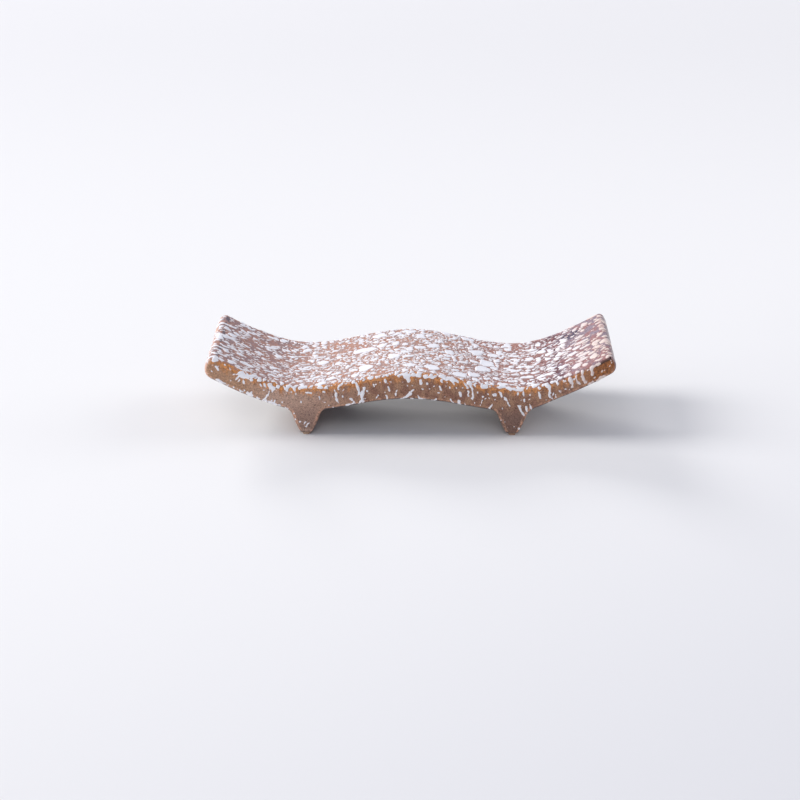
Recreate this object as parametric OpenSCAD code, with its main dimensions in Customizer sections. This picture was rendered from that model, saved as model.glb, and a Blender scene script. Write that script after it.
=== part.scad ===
// Wave-shaped stoneware chopstick rest on two foot ridges.
// X runs along the length, Y from front to back, Z up. The origin is the middle
// of the footprint, on the table. Heights are measured over the glaze.

/* [Overall size] */
// Length from end to end
rest_l = 83; // [70:0.5:110]
// Depth from front to back
rest_d = 29; // [16:0.5:45]
// Height of the right end, the highest point
rest_h = 17; // [15:0.25:22]

/* [Wave] */
// Height of the middle crest
crest_h = 13.4; // [11.5:0.1:16]
// Height of the two dips that hold the chopsticks
dip_h = 10.3; // [9:0.1:11.2]
// Distance of each dip from the middle
dip_x = 21.6; // [18:0.1:25]
// Height of the left end
left_end_h = 16.25; // [14.5:0.05:22]
// Slope of the left end, in degrees
left_tilt = 27; // [15:1:38]
// Slope of the right end, in degrees
right_tilt = 29; // [15:1:38]

/* [Slab thickness] */
// Upright thickness under the crest
crest_t = 5.7; // [4:0.05:7]
// Upright thickness over the feet
dip_t = 5.25; // [4:0.05:6.2]
// Upright thickness of the left end
left_end_t = 4.9; // [4:0.05:6]
// Upright thickness of the right end
right_end_t = 4.2; // [3.8:0.05:6]
// Distance past each dip over which the slab thins to its end
taper_run = 9; // [5:0.5:14]

/* [Edges] */
// Roundness of the front and back edges
edge_r = 0.9; // [0.5:0.05:1]
// Roundness of those edges at the tips of the feet
foot_edge_r = 0.45; // [0.3:0.05:0.5]
// Roundness of the left end's upper corner
left_top_r = 1.3; // [1.05:0.05:1.6]
// Roundness of the left end's lower corner
left_low_r = 2.2; // [1.05:0.05:2.4]
// Roundness of the right end's upper corner
right_top_r = 1.05; // [1.05:0.05:1.3]
// Roundness of the right end's lower corner
right_low_r = 1.9; // [1.05:0.05:2]

/* [Feet] */
// Distance of the left foot from the middle
left_foot_x = 21.1; // [14:0.1:25]
// Distance of the right foot from the middle
right_foot_x = 20.8; // [14:0.1:25]
// Width of a foot at its tip
foot_tip_w = 1.4; // [1.2:0.05:3]
// Width of a foot at its root
foot_root_w = 6.4; // [5:0.1:9]
// How far each side of a foot swells out half-way up
foot_belly = 0.25; // [0:0.05:0.5]
// Run of the hollow between a foot and the slab
fillet_run = 1.5; // [0.5:0.1:3]

/* [Glaze] */
// Thickness of the brown glaze coat
glaze_t = 0.3; // [0.15:0.01:0.35]
// Height of the bare clay wiped clean at the tips of the feet
wipe_h = 0.6; // [0.3:0.05:1.5]
// How far the white flecks stand up from the brown glaze
fleck_t = 0.15; // [0.05:0.01:0.3]

/* [White flecks] */
// Spacing of the flecks on the top
fleck_pitch = 5; // [4:0.1:8]
// Least gap between two flecks
fleck_gap = 0.3; // [0.1:0.05:1]
// Length of the runs on the front and back faces
run_l = 2.2; // [1:0.1:3.2]
// Spacing of the runs
run_pitch = 4.2; // [3:0.1:6]

/* [Hidden] */
half_l = rest_l / 2;
// The flecks on the front and back faces reach the full depth
coat_d = rest_d - 2 * fleck_t;
foot_root_h = dip_h - dip_t;
// Steps along each stretch of the underside, up each side of a foot and round each corner
wing_steps = 11;
arch_steps = 24;
foot_steps = 4;
arc_steps = 4;

// Smooth step from 0 to 1
function ease(s) = (3 - 2 * s) * s * s;
function clamp01(s) = min(1, max(0, s));

// Each end is cut square to its own slope, so its corners come from the tilt.
// side is -1 at the left and 1 at the right.
function by_side(side, left, right) = side < 0 ? left : right;
function tilt(side) = by_side(side, left_tilt, right_tilt);
function top_r(side) = by_side(side, left_top_r, right_top_r);
function low_r(side) = by_side(side, left_low_r, right_low_r);
function end_t(side) = by_side(side, left_end_t, right_end_t);
function end_h(side) = by_side(side, left_end_h, rest_h);
function square_t(side) = end_t(side) * cos(tilt(side));
function tip_x(side) = half_l - low_r(side) * (1 - cos(tilt(side)))
    - (square_t(side) - low_r(side)) * sin(tilt(side));
function tip_h(side) = end_h(side) + top_r(side) * (sin(tilt(side)) + cos(tilt(side)) - 1);

// Height of the top: an eased hump between the dips, and past each dip a wing
// that leaves it level and reaches the tip at the tip's own slope
function wing_h(side, x, run, u) = u > 1
    ? tip_h(side) + (u - 1) * run * tan(tilt(side))
    : dip_h + (tip_h(side) - dip_h) * ease(u) + run * tan(tilt(side)) * (u - 1) * u * u;
function top_h(x) = let (a = abs(x), side = sign(x)) a < dip_x
    ? crest_h + (dip_h - crest_h) * ease(a / dip_x)
    : wing_h(side, x, tip_x(side) - dip_x, (a - dip_x) / (tip_x(side) - dip_x));
function slab_t(x) = let (a = abs(x)) a < dip_x
    ? crest_t + (dip_t - crest_t) * ease(a / dip_x)
    : dip_t + (end_t(sign(x)) - dip_t) * ease(clamp01((a - dip_x) / taper_run));
function under_h(x) = top_h(x) - slab_t(x);

// Points of the underside from left to right, with both feet
function along_under(x0, x1, steps) = [for (i = [0 : steps])
    let (x = x0 + (x1 - x0) * i / steps) [x, under_h(x)]];
function blend(a, corner, b) = [for (i = [0 : arc_steps]) let (t = i / arc_steps)
    (1 - t) * (1 - t) * a + 2 * t * (1 - t) * corner + t * t * b];
function inner(list) = [for (i = [1 : len(list) - 2]) list[i]];
function reversed(list) = [for (i = [len(list) - 1 : -1 : 0]) list[i]];
// One side of a foot from height h to the slab: a swelling side, then a fillet.
// The share runs from 0 at the tip, a glaze thickness below the table, to 1 at the root.
function foot_tip(x, side) = [x + side * foot_tip_w / 2, -glaze_t];
function foot_root(x, side) = let (root_x = x + side * foot_root_w / 2) [root_x, under_h(root_x)];
function foot_flank(x, side, share) = foot_tip(x, side) + share * (foot_root(x, side) - foot_tip(x, side))
    + [side * foot_belly * 4 * share * (1 - share), 0];
function foot_side(x, side, h) = let (
    rise = foot_root(x, side) - foot_tip(x, side),
    low_share = (h + glaze_t) / rise[1],
    high_share = 1 - fillet_run / norm(rise),
    bend = foot_flank(x, side, high_share),
    corner = bend + (1 - high_share) * (rise + [side * foot_belly * 4 * (1 - 2 * high_share), 0]),
    slab_x = foot_root(x, side)[0] + side * fillet_run
) concat(
    [[foot_flank(x, side, low_share)[0], h]],
    [for (i = [1 : foot_steps - 1])
        foot_flank(x, side, low_share + (high_share - low_share) * i / foot_steps)],
    blend(bend, corner, [slab_x, under_h(slab_x)]));
function foot_points(x, h) = concat(reversed(foot_side(x, -1, h)), foot_side(x, 1, h));

// Corners of an end, each from the end face inwards
function along_slope(side, run, drop) = let (a = tilt(side))
    [side * (tip_x(side) + run * cos(a) + drop * sin(a)), tip_h(side) + run * sin(a) - drop * cos(a)];
function arc(side, centre, r, a0, a1) = [for (i = [0 : arc_steps])
    let (a = a0 + (a1 - a0) * i / arc_steps) centre + r * [side * cos(a), sin(a)]];
function low_corner(side) = arc(side, along_slope(side, -low_r(side), square_t(side) - low_r(side)),
    low_r(side), tilt(side), tilt(side) - 90);
function top_corner(side) = arc(side, along_slope(side, -top_r(side), top_r(side)),
    top_r(side), tilt(side), tilt(side) + 90);

// Where the wing's even steps start, inside both of its end's corners
function wing_end(side) = min(side * low_corner(side)[arc_steps][0], side * top_corner(side)[arc_steps][0]);

// The outline runs along the underside to the right and back along the top, with
// a top point over each point of the underside. h is where the feet are cut off.
reach = foot_root_w / 2 + fillet_run;
function under_stretch(h) = concat(
    inner(along_under(-wing_end(-1), -left_foot_x - reach, wing_steps)),
    foot_points(-left_foot_x, h),
    inner(along_under(-left_foot_x + reach, right_foot_x - reach, arch_steps)),
    foot_points(right_foot_x, h),
    inner(along_under(right_foot_x + reach, wing_end(1), wing_steps)));
function outline(h) = let (under = under_stretch(h)) concat(
    low_corner(-1), under, reversed(low_corner(1)),
    top_corner(1), [for (p = reversed(under)) [p[0], top_h(p[0])]], reversed(top_corner(-1)));

// Vector at each point that moves both of its edges out by one unit. At a cut
// foot, whose level edge stays at height h, the point slides along the cut.
function edge_normal(a, b) = [b[1] - a[1], a[0] - b[0]] / norm(b - a);
function outward(line, h) = let (n = len(line)) [for (i = [0 : n - 1]) let (
    last = line[(i + n - 1) % n],
    next = line[(i + 1) % n],
    a = edge_normal(last, line[i]),
    b = edge_normal(line[i], next)
) line[i][1] != h ? (a + b) / (1 + a * b) : [1 / (next[1] == h ? a[0] : b[0]), 0]];
function moved(line, vectors, by) = [for (i = [0 : len(line) - 1]) line[i] + by * vectors[i]];

glaze_line = outline(wipe_h);
glaze_out = outward(glaze_line, wipe_h);
clay_line = let (line = outline(-glaze_t)) moved(line, outward(line, -rest_h), -glaze_t);
count = len(glaze_line);
columns = count / 2;

// Front and back edges are rounder on the slab than at the tips of the feet
radius = [for (p = glaze_line) foot_edge_r
    + (edge_r - foot_edge_r) * ease(clamp01(p[1] / foot_root_h))];

// Rings of the glaze's outer face, from the front face to the back one
function outer_ring(side, a) = [for (i = [0 : count - 1]) let (
    p = glaze_line[i] - glaze_out[i] * radius[i] * (1 - sin(a))
) [p[0], side * (coat_d / 2 - radius[i] * (1 - cos(a))), p[1]]];
function inner_ring(side) = [for (p = moved(glaze_line, glaze_out, -glaze_t))
    [p[0], side * (coat_d / 2 - glaze_t), p[1]]];
outer_rings = 2 * arc_steps + 2;
outer_points = [for (side = [-1, 1], k = [0 : arc_steps])
    each outer_ring(side, 90 * (side < 0 ? k : arc_steps - k) / arc_steps)];
inner_points = concat(inner_ring(-1), inner_ring(1));

// Triangles of a tube of rings and of its ends; the cut under each foot stays open
function is_cut(i) = glaze_line[i][1] == wipe_h && glaze_line[(i + 1) % count][1] == wipe_h;
function quad(a, b, c, d) = [[a, b, c], [a, c, d]];
function tube(first, rings) = [for (k = [0 : rings - 2], i = [0 : count - 1]) if (!is_cut(i))
    let (j = (i + 1) % count, a = first + k * count, b = a + count)
    each quad(a + j, b + j, b + i, a + i)];
function end_face(first) = [for (i = [0 : columns - 2])
    each quad(first + i, first + i + 1, first + count - 2 - i, first + count - 1 - i)];
function flipped(faces) = [for (f = faces) reversed(f)];
// Level rim of bare clay height round each foot, between the two faces of the coat
function rim(i) = let (
    j = i + 1,
    last = (outer_rings - 1) * count,
    far = outer_rings * count,
    near_half = [for (k = [0 : arc_steps]) k * count],
    far_half = [for (k = [arc_steps + 1 : outer_rings - 1]) k * count]
) concat(
    quad(i, far + i, far + j, j),
    quad(last + i, last + j, far + count + j, far + count + i),
    [for (side = [i, j], k = [0 : arc_steps - 1]) let (a = near_half[k] + side, b = near_half[k + 1] + side)
        side == i ? [a, b, far + i] : [b, a, far + j]],
    [for (side = [i, j], k = [0 : arc_steps - 1]) let (a = far_half[k] + side, b = far_half[k + 1] + side)
        side == i ? [a, b, far + count + i] : [b, a, far + count + j]],
    let (a = near_half[arc_steps], b = far_half[0])
        concat(quad(far + i, a + i, b + i, far + count + i), quad(far + count + j, b + j, a + j, far + j)));

// Crisp clay body inside the glaze. The feet are luted on along a level seat
// just below the slab.
seat_h = foot_root_h - fillet_run / 4;
module clay_form() {
    rotate([90, 0, 0]) linear_extrude(coat_d - 2 * glaze_t, center = true) polygon(clay_line);
}
module under_seat(x, l) {
    translate([x, -rest_d, -rest_h]) cube([l, 2 * rest_d, rest_h + seat_h]);
}

module wave_slab() {
    color("burlywood") difference() {
        clay_form();
        under_seat(-rest_l, 2 * rest_l);
    }
}
module left_foot() {
    color("tan") intersection() {
        clay_form();
        under_seat(-rest_l, rest_l);
    }
}
module right_foot() {
    color("tan") intersection() {
        clay_form();
        under_seat(0, rest_l);
    }
}
module brown_glaze() {
    color("sienna") polyhedron(concat(outer_points, inner_points), concat(
        flipped(end_face(0)),
        tube(0, outer_rings),
        end_face((outer_rings - 1) * count),
        end_face(outer_rings * count),
        flipped(tube(outer_rings * count, 2)),
        flipped(end_face((outer_rings + 1) * count)),
        [for (i = [0 : columns - 1]) if (is_cut(i)) each flipped(rim(i))]));
}

// White flecks are patches that follow the glaze from one top point to the next.
// A patch is a list of stops [index of the top point, front edge, back edge].
function fraction(x) = x - floor(x);
function chance(seed, salt) = fraction(sin(seed * 77.7 + salt * 33.3) * 4321.7);
function between(a, b, share) = a + (b - a) * share;
flat_d = coat_d / 2 - edge_r;
function patch_stops(x, y, w, seed) = [for (i = [columns + arc_steps + 1 : count - arc_steps - 2])
    let (u = (glaze_line[i][0] - x) / (w / 2)) if (abs(u) < 1) let (
        half_share = sqrt(1 - u * u),
        front_share = between(0.6, 1, chance(seed, i)),
        back_share = between(0.6, 1, chance(seed + 1, i))
    ) [i, max(-flat_d, y - w / 2 * half_share * front_share),
        min(flat_d, y + w / 2 * half_share * back_share)]];
function stop_points(stop) = let (
    low = glaze_line[stop[0]],
    high = low + fleck_t * glaze_out[stop[0]]
) [[low[0], stop[1], low[1]], [low[0], stop[2], low[1]],
    [high[0], stop[2] - fleck_t / 2, high[1]], [high[0], stop[1] + fleck_t / 2, high[1]]];
// Faces of a bar whose cross-sections have n points each
function bar_faces(first, n, sections) = concat(
    [for (i = [1 : n - 2]) [first, first + i + 1, first + i]],
    [for (k = [0 : sections - 2], i = [0 : n - 1])
        let (a = first + k * n, b = a + n, j = (i + 1) % n) each quad(a + j, b + j, b + i, a + i)],
    [for (i = [1 : n - 2]) let (a = first + (sections - 1) * n) [a, a + i, a + i + 1]]);

patch_rows = floor(rest_d / fleck_pitch);
patch_columns = floor(rest_l / fleck_pitch);
patches = [for (i = [0 : patch_columns - 1], j = [0 : patch_rows - 1]) let (
    seed = 1 + i * patch_rows + j,
    widest = fleck_pitch - fleck_gap,
    w = between(widest / 2, widest, chance(seed, 1)),
    slack = (widest - w) / 2,
    stops = patch_stops(
        (i + 0.5 - patch_columns / 2) * rest_l / patch_columns + slack * between(-1, 1, chance(seed, 2)),
        (j + 0.5 - patch_rows / 2) * rest_d / patch_rows + slack * between(-1, 1, chance(seed, 3)),
        w, seed)
) if (len(stops) > 1) stops];

// Runs are flat-backed drops on the front and back faces
drop_points = 8;
drop_count = floor(rest_l / run_pitch);
function drop_ring(side, i, y, grow) = let (
    seed = 100 + side + 3 * i,
    x = (i + 0.5 - drop_count / 2) * rest_l / drop_count,
    room = slab_t(x) - 2 * edge_r,
    l = min(run_l, room) * between(0.5, 1, chance(seed, 1)),
    z = top_h(x) - edge_r - l / 2 - (room - l) * chance(seed, 2)
) [for (k = [0 : drop_points - 1]) let (a = side * 360 * k / drop_points)
    [x + (l / 5 + grow) * cos(a), y, z + (l / 2 + grow) * sin(a)]];
drops = [for (side = [-1, 1], i = [0 : drop_count - 1]) concat(
    drop_ring(side, i, side * coat_d / 2, 0),
    drop_ring(side, i, side * rest_d / 2, -fleck_t / 2))];

function sums(list, at = 0, total = 0) = at == len(list) ? []
    : concat([total], sums(list, at + 1, total + list[at]));
module white_flecks() {
    starts = sums([for (patch = patches) 4 * len(patch)]);
    drop_start = 4 * len([for (patch = patches) each patch]);
    color("white") polyhedron(
        concat([for (patch = patches, stop = patch) each stop_points(stop)], [for (drop = drops) each drop]),
        concat(
            [for (i = [0 : len(patches) - 1]) each bar_faces(starts[i], 4, len(patches[i]))],
            [for (i = [0 : len(drops) - 1])
                each bar_faces(drop_start + 2 * drop_points * i, drop_points, 2)]));
}

wave_slab();
left_foot();
right_foot();
brown_glaze();
white_flecks();
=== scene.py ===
import math
import bpy
import numpy as np
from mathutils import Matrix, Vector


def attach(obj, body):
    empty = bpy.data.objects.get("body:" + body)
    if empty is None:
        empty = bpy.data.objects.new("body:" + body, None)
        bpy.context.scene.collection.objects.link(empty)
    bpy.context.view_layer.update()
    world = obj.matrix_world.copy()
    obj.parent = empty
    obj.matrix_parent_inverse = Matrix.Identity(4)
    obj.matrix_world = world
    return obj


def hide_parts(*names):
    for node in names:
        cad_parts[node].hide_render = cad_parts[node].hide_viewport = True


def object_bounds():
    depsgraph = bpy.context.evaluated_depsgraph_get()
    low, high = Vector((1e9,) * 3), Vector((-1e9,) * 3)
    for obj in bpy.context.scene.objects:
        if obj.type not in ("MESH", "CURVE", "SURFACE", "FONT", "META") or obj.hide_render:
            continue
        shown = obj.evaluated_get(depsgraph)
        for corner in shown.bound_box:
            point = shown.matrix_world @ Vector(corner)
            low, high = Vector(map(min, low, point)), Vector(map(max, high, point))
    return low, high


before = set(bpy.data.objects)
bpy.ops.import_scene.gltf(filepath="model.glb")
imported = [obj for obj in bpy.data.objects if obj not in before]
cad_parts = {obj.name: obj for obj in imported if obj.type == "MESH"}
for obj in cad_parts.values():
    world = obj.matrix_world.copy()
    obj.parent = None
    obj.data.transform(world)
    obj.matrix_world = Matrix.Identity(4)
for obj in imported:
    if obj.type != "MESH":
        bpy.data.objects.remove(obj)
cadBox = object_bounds()
mm = 0.001
print("frame loaded, CAD box", [round(v / mm, 2) for corner in cadBox for v in corner], "mm")


# Camera and stage

def fromScreen(red, green, blue):
    # Colour as it reads on screen, 0 to 255, to the linear values that nodes take
    shares = [value / 255 for value in (red, green, blue)]
    linear = [s / 12.92 if s <= 0.04045 else ((s + 0.055) / 1.055) ** 2.4 for s in shares]
    return (*linear, 1)


def addNode(tree, kind, inputs=None, **settings):
    node = tree.nodes.new(kind)
    for name, value in settings.items():
        setattr(node, name, value)
    for name, value in (inputs or {}).items():
        if isinstance(value, bpy.types.NodeSocket):
            tree.links.new(value, node.inputs[name])
        else:
            node.inputs[name].default_value = value
    return node


def calculate(tree, operation, a, b):
    return addNode(tree, "ShaderNodeMath", {0: a, 1: b}, operation=operation).outputs[0]


def times(tree, first, *others):
    for other in others:
        first = calculate(tree, "MULTIPLY", first, other)
    return first


def stepUp(tree, value, low, high):
    # 0 below low, 1 above high, smooth between
    return addNode(tree, "ShaderNodeMapRange", {"Value": value, "From Min": low, "From Max": high},
                   interpolation_type="SMOOTHSTEP").outputs["Result"]


def mixColour(tree, share, a, b, blend="MIX"):
    return addNode(tree, "ShaderNodeMix", {0: share, 6: a, 7: b},
                   data_type="RGBA", blend_type=blend).outputs[2]


def newObject(name, data):
    thing = bpy.data.objects.new(name, data)
    bpy.context.scene.collection.objects.link(thing)
    return thing


camera = {
    "place": (4.08 * mm, -401.36 * mm, 152.81 * mm),
    "pitch": 20.56,  # degrees below level
    "yaw": 0.9,  # degrees to the left
    "lens": 91.95,
    "sensor": 36,
}
stage = {
    "floorSize": 4.0,
    "floorPale": fromScreen(239, 237, 235),
    "floorPaintedShade": fromScreen(215, 214, 216),  # painted shade: darker to the right and the front, where the lamps' light falls off
    # painted shade: a darker tone far back, which dims the floor where the near lamps light it most
    "floorPaintedFarShade": fromScreen(230, 228, 227),
    "floorWay": (0.55, -0.6),  # shares of the way right and back that the painted shade goes by
    "floorFade": (-0.02, 0.19),  # where the floor turns from one to the other, in metres
    "floorBack": (0.05, 0.45),  # and where it turns to the painted far shade, in metres
    "floorRough": 0.7,
    "floorShine": 0.2,
    "worldColour": fromScreen(215, 224, 254),
    "worldPale": fromScreen(246, 246, 251),  # the colour that the camera sees behind the floor
    "worldStrength": 0.3,
    "worldSeen": 0.95,  # how pale the surroundings look behind the floor
    "worldMirrored": 0.5,  # and in the glaze
    "lampFar": 4.0,
    # name: degrees from the left towards the back, degrees up, size, watts
    "lamps": {
        "frontLamp": (-26, 24, 2.0, 14.0),
        "windowLamp": (8, 34, 2.1, 113.0),
        "backLamp": (66, 20, 1.3, 95.0),
        "topLamp": (20, 68, 2.2, 14.0),
        "rightFill": (160, 25, 2.7, 44.0),
        "frontFill": (-90, 34, 2.7, 32.0),
    },
    "unmirrored": "backLamp",  # it would glare on the right wing
}


def addCamera():
    lens = bpy.data.cameras.new("camera")
    lens.lens = camera["lens"]
    lens.sensor_width = camera["sensor"]
    shot = newObject("camera", lens)
    shot.location = camera["place"]
    shot.rotation_euler = (math.radians(90 - camera["pitch"]), 0, math.radians(camera["yaw"]))
    bpy.context.scene.camera = shot


def addLamp(name, turn, rise, size, watts):
    turn, rise = math.radians(turn), math.radians(rise)
    lamp = bpy.data.lights.new(name, "AREA")
    lamp.shape = "DISK"
    lamp.size = size
    lamp.energy = watts
    holder = newObject(name, lamp)
    holder.visible_glossy = name != stage["unmirrored"]
    level = stage["lampFar"] * math.cos(rise)
    holder.location = (-level * math.cos(turn), level * math.sin(turn), stage["lampFar"] * math.sin(rise))
    holder.rotation_euler = (math.pi / 2 - rise, 0, -math.pi / 2 - turn)


def addFloor():
    half = stage["floorSize"] / 2
    corners = [(-half, -half, 0), (half, -half, 0), (half, half, 0), (-half, half, 0)]
    mesh = bpy.data.meshes.new("floor")
    mesh.from_pydata(corners, [], [(0, 1, 2, 3)])
    floor = newObject("floor", mesh)
    material = bpy.data.materials.new("floorPaint")
    material.use_nodes = True
    tree = material.node_tree
    shader = tree.nodes["Principled BSDF"]
    place = addNode(tree, "ShaderNodeTexCoord").outputs["Object"]
    x, y, _ = addNode(tree, "ShaderNodeSeparateXYZ", {0: place}).outputs
    right, back = stage["floorWay"]
    # The floor's colour holds painted shade: darker to the right and the front, and far back
    across = calculate(tree, "ADD", times(tree, x, right), times(tree, y, back))
    colour = mixColour(tree, stepUp(tree, across, *stage["floorFade"]), stage["floorPale"], stage["floorPaintedShade"])
    colour = mixColour(tree, stepUp(tree, y, *stage["floorBack"]), colour, stage["floorPaintedFarShade"])
    tree.links.new(colour, shader.inputs["Base Color"])
    shader.inputs["Roughness"].default_value = stage["floorRough"]
    shader.inputs["Specular IOR Level"].default_value = stage["floorShine"]
    mesh.materials.append(material)


def addWorld():
    world = bpy.data.worlds.new("studio")
    world.use_nodes = True
    tree = world.node_tree
    sky = tree.nodes["Background"]
    path = addNode(tree, "ShaderNodeLightPath").outputs
    mirrored = calculate(tree, "MAXIMUM", path["Is Glossy Ray"], path["Is Transmission Ray"])
    seen = times(tree, path["Is Camera Ray"], stage["worldSeen"])
    strength = calculate(tree, "MAXIMUM", seen, times(tree, mirrored, stage["worldMirrored"]))
    colour = mixColour(tree, path["Is Camera Ray"], stage["worldColour"], stage["worldPale"])
    tree.links.new(colour, sky.inputs["Color"])
    tree.links.new(calculate(tree, "MAXIMUM", strength, stage["worldStrength"]), sky.inputs["Strength"])
    bpy.context.scene.world = world
    bpy.context.scene.view_settings.view_transform = "Standard"


addCamera()
addFloor()
addWorld()
for name, lamp in stage["lamps"].items():
    addLamp(name, *lamp)
print("camera and stage set")


# Form of the rest: the same wave, ends and feet as the construction model

wave = {
    "length": 83 * mm,
    "depth": 28.7 * mm,  # over the brown glaze, under the white runs
    "crestHeight": 13.4 * mm,
    "dipHeight": 10.3 * mm,
    "dipPlace": 21.6 * mm,
    "crestThick": 5.7 * mm,
    "dipThick": 5.25 * mm,
    "taperRun": 9 * mm,
    "edgeRadius": 0.9 * mm,
    "edgeRun": 1.4 * mm,  # length of surface round an edge, for its number of steps
    "cornerRun": 2.6 * mm,  # and round a corner of an end
}
ends = {
    -1: {"height": 16.25 * mm, "tilt": math.radians(27), "thick": 4.9 * mm,
         "topRadius": 1.3 * mm, "lowRadius": 2.2 * mm},
    1: {"height": 17 * mm, "tilt": math.radians(29), "thick": 4.2 * mm,
        "topRadius": 1.05 * mm, "lowRadius": 1.9 * mm},
}
feet = {
    "leftPlace": -21.1 * mm,
    "rightPlace": 20.8 * mm,
    "tipWidth": 1.4 * mm,
    "rootWidth": 6.4 * mm,
    "belly": 0.25 * mm,  # how far each side swells out half-way up
    "filletRun": 1.5 * mm,
    "edgeRadius": 0.45 * mm,
    "glazeLine": 0.6 * mm,  # the clay is bare below this height
    "tipBelow": 0.3 * mm,  # how far the glazed outline would run below the table
}
footRoot = wave["dipHeight"] - wave["dipThick"]


def ease(s):
    return (3 - 2 * s) * s * s


def clamp01(s):
    return np.clip(s, 0, 1)


def squareThick(side):
    return ends[side]["thick"] * math.cos(ends[side]["tilt"])


def tipPlace(side):
    end = ends[side]
    return (wave["length"] / 2 - end["lowRadius"] * (1 - math.cos(end["tilt"]))
            - (squareThick(side) - end["lowRadius"]) * math.sin(end["tilt"]))


def tipHeight(side):
    end = ends[side]
    return end["height"] + end["topRadius"] * (math.sin(end["tilt"]) + math.cos(end["tilt"]) - 1)


def wingHeight(side, x):
    run = tipPlace(side) - wave["dipPlace"]
    u = (abs(x) - wave["dipPlace"]) / run
    slope = math.tan(ends[side]["tilt"])
    curved = (wave["dipHeight"] + (tipHeight(side) - wave["dipHeight"]) * ease(u)
              + run * slope * (u - 1) * u * u)
    return np.where(u > 1, tipHeight(side) + (u - 1) * run * slope, curved)


def topHeight(x):
    x = np.asarray(x, float)
    share = clamp01(abs(x) / wave["dipPlace"])
    middle = wave["crestHeight"] + (wave["dipHeight"] - wave["crestHeight"]) * ease(share)
    wing = np.where(x < 0, wingHeight(-1, x), wingHeight(1, x))
    return np.where(abs(x) < wave["dipPlace"], middle, wing)


def slabThick(x):
    x = np.asarray(x, float)
    share = clamp01(abs(x) / wave["dipPlace"])
    middle = wave["crestThick"] + (wave["dipThick"] - wave["crestThick"]) * ease(share)
    endThick = np.where(x < 0, ends[-1]["thick"], ends[1]["thick"])
    past = clamp01((abs(x) - wave["dipPlace"]) / wave["taperRun"])
    return np.where(abs(x) < wave["dipPlace"], middle,
                    wave["dipThick"] + (endThick - wave["dipThick"]) * ease(past))


def underHeight(x):
    return topHeight(x) - slabThick(x)


def alongSlope(side, run, drop):
    a = ends[side]["tilt"]
    return np.array([side * (tipPlace(side) + run * math.cos(a) + drop * math.sin(a)),
                     tipHeight(side) + run * math.sin(a) - drop * math.cos(a)])


def cornerArc(side, which, steps):
    # Points from the end face inwards, round the upper or the lower corner of an end
    end = ends[side]
    radius = end[which]
    drop = radius if which == "topRadius" else squareThick(side) - radius
    turn = math.pi / 2 if which == "topRadius" else -math.pi / 2
    angles = end["tilt"] + turn * np.arange(steps + 1) / steps
    return alongSlope(side, -radius, drop) + radius * np.stack([side * np.cos(angles), np.sin(angles)], 1)


def between(a, b, steps):
    share = np.arange(steps + 1)[:, None] / steps
    return a + (b - a) * share


def stretchUnder(start, stop, step):
    x = np.linspace(start, stop, max(2, round(abs(stop - start) / step) + 1))
    return np.stack([x, underHeight(x)], 1)


def footSide(place, side, step):
    # One side of a foot, from its glazed end up to the slab: a swelling side, then a fillet
    rootX = place + side * feet["rootWidth"] / 2
    root = np.array([rootX, float(underHeight(rootX))])
    tip = np.array([place + side * feet["tipWidth"] / 2, -feet["tipBelow"]])
    rise = root - tip
    swell = np.array([side * feet["belly"] * 4, 0])
    low = (feet["glazeLine"] - tip[1]) / rise[1]
    high = 1 - feet["filletRun"] / np.linalg.norm(rise)
    share = np.linspace(low, high, round((high - low) * np.linalg.norm(rise) / step) + 1)[:, None]
    flank = tip + share * rise + swell * share * (1 - share)
    bend = flank[-1]
    corner = bend + (1 - high) * (rise + swell * (1 - 2 * high))
    slabX = rootX + side * feet["filletRun"]
    slab = np.array([slabX, float(underHeight(slabX))])
    t = np.linspace(0, 1, round(2 * feet["filletRun"] / step) + 1)[1:, None]
    fillet = (1 - t) ** 2 * bend + 2 * t * (1 - t) * corner + t * t * slab
    return np.concatenate([flank, fillet])


def underLine(step):
    # Points of the underside from left to right, and which of them lie on a cut foot
    reach = feet["rootWidth"] / 2 + feet["filletRun"]
    wingEnds = {}
    for side in (-1, 1):
        corners = cornerArc(side, "lowRadius", 1)[-1], cornerArc(side, "topRadius", 1)[-1]
        wingEnds[side] = side * min(side * corner[0] for corner in corners)
    parts = [stretchUnder(wingEnds[-1], feet["leftPlace"] - reach, step)[1:-1]]
    cut = [np.zeros(len(parts[0]), bool)]
    for name, following in (("leftPlace", feet["rightPlace"] - reach), ("rightPlace", wingEnds[1])):
        place = feet[name]
        leftSide = footSide(place, -1, step)[::-1]
        rightSide = footSide(place, 1, step)
        flat = between(leftSide[-1], rightSide[0], round((rightSide[0] - leftSide[-1])[0] / step))[1:-1]
        openRun = stretchUnder(place + reach, following, step)[1:-1]
        parts += [leftSide, flat, rightSide, openRun]
        cut += [np.arange(len(leftSide)) == len(leftSide) - 1, np.ones(len(flat), bool),
                np.arange(len(rightSide)) == 0, np.zeros(len(openRun), bool)]
    return np.concatenate(parts), np.concatenate(cut)


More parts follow.
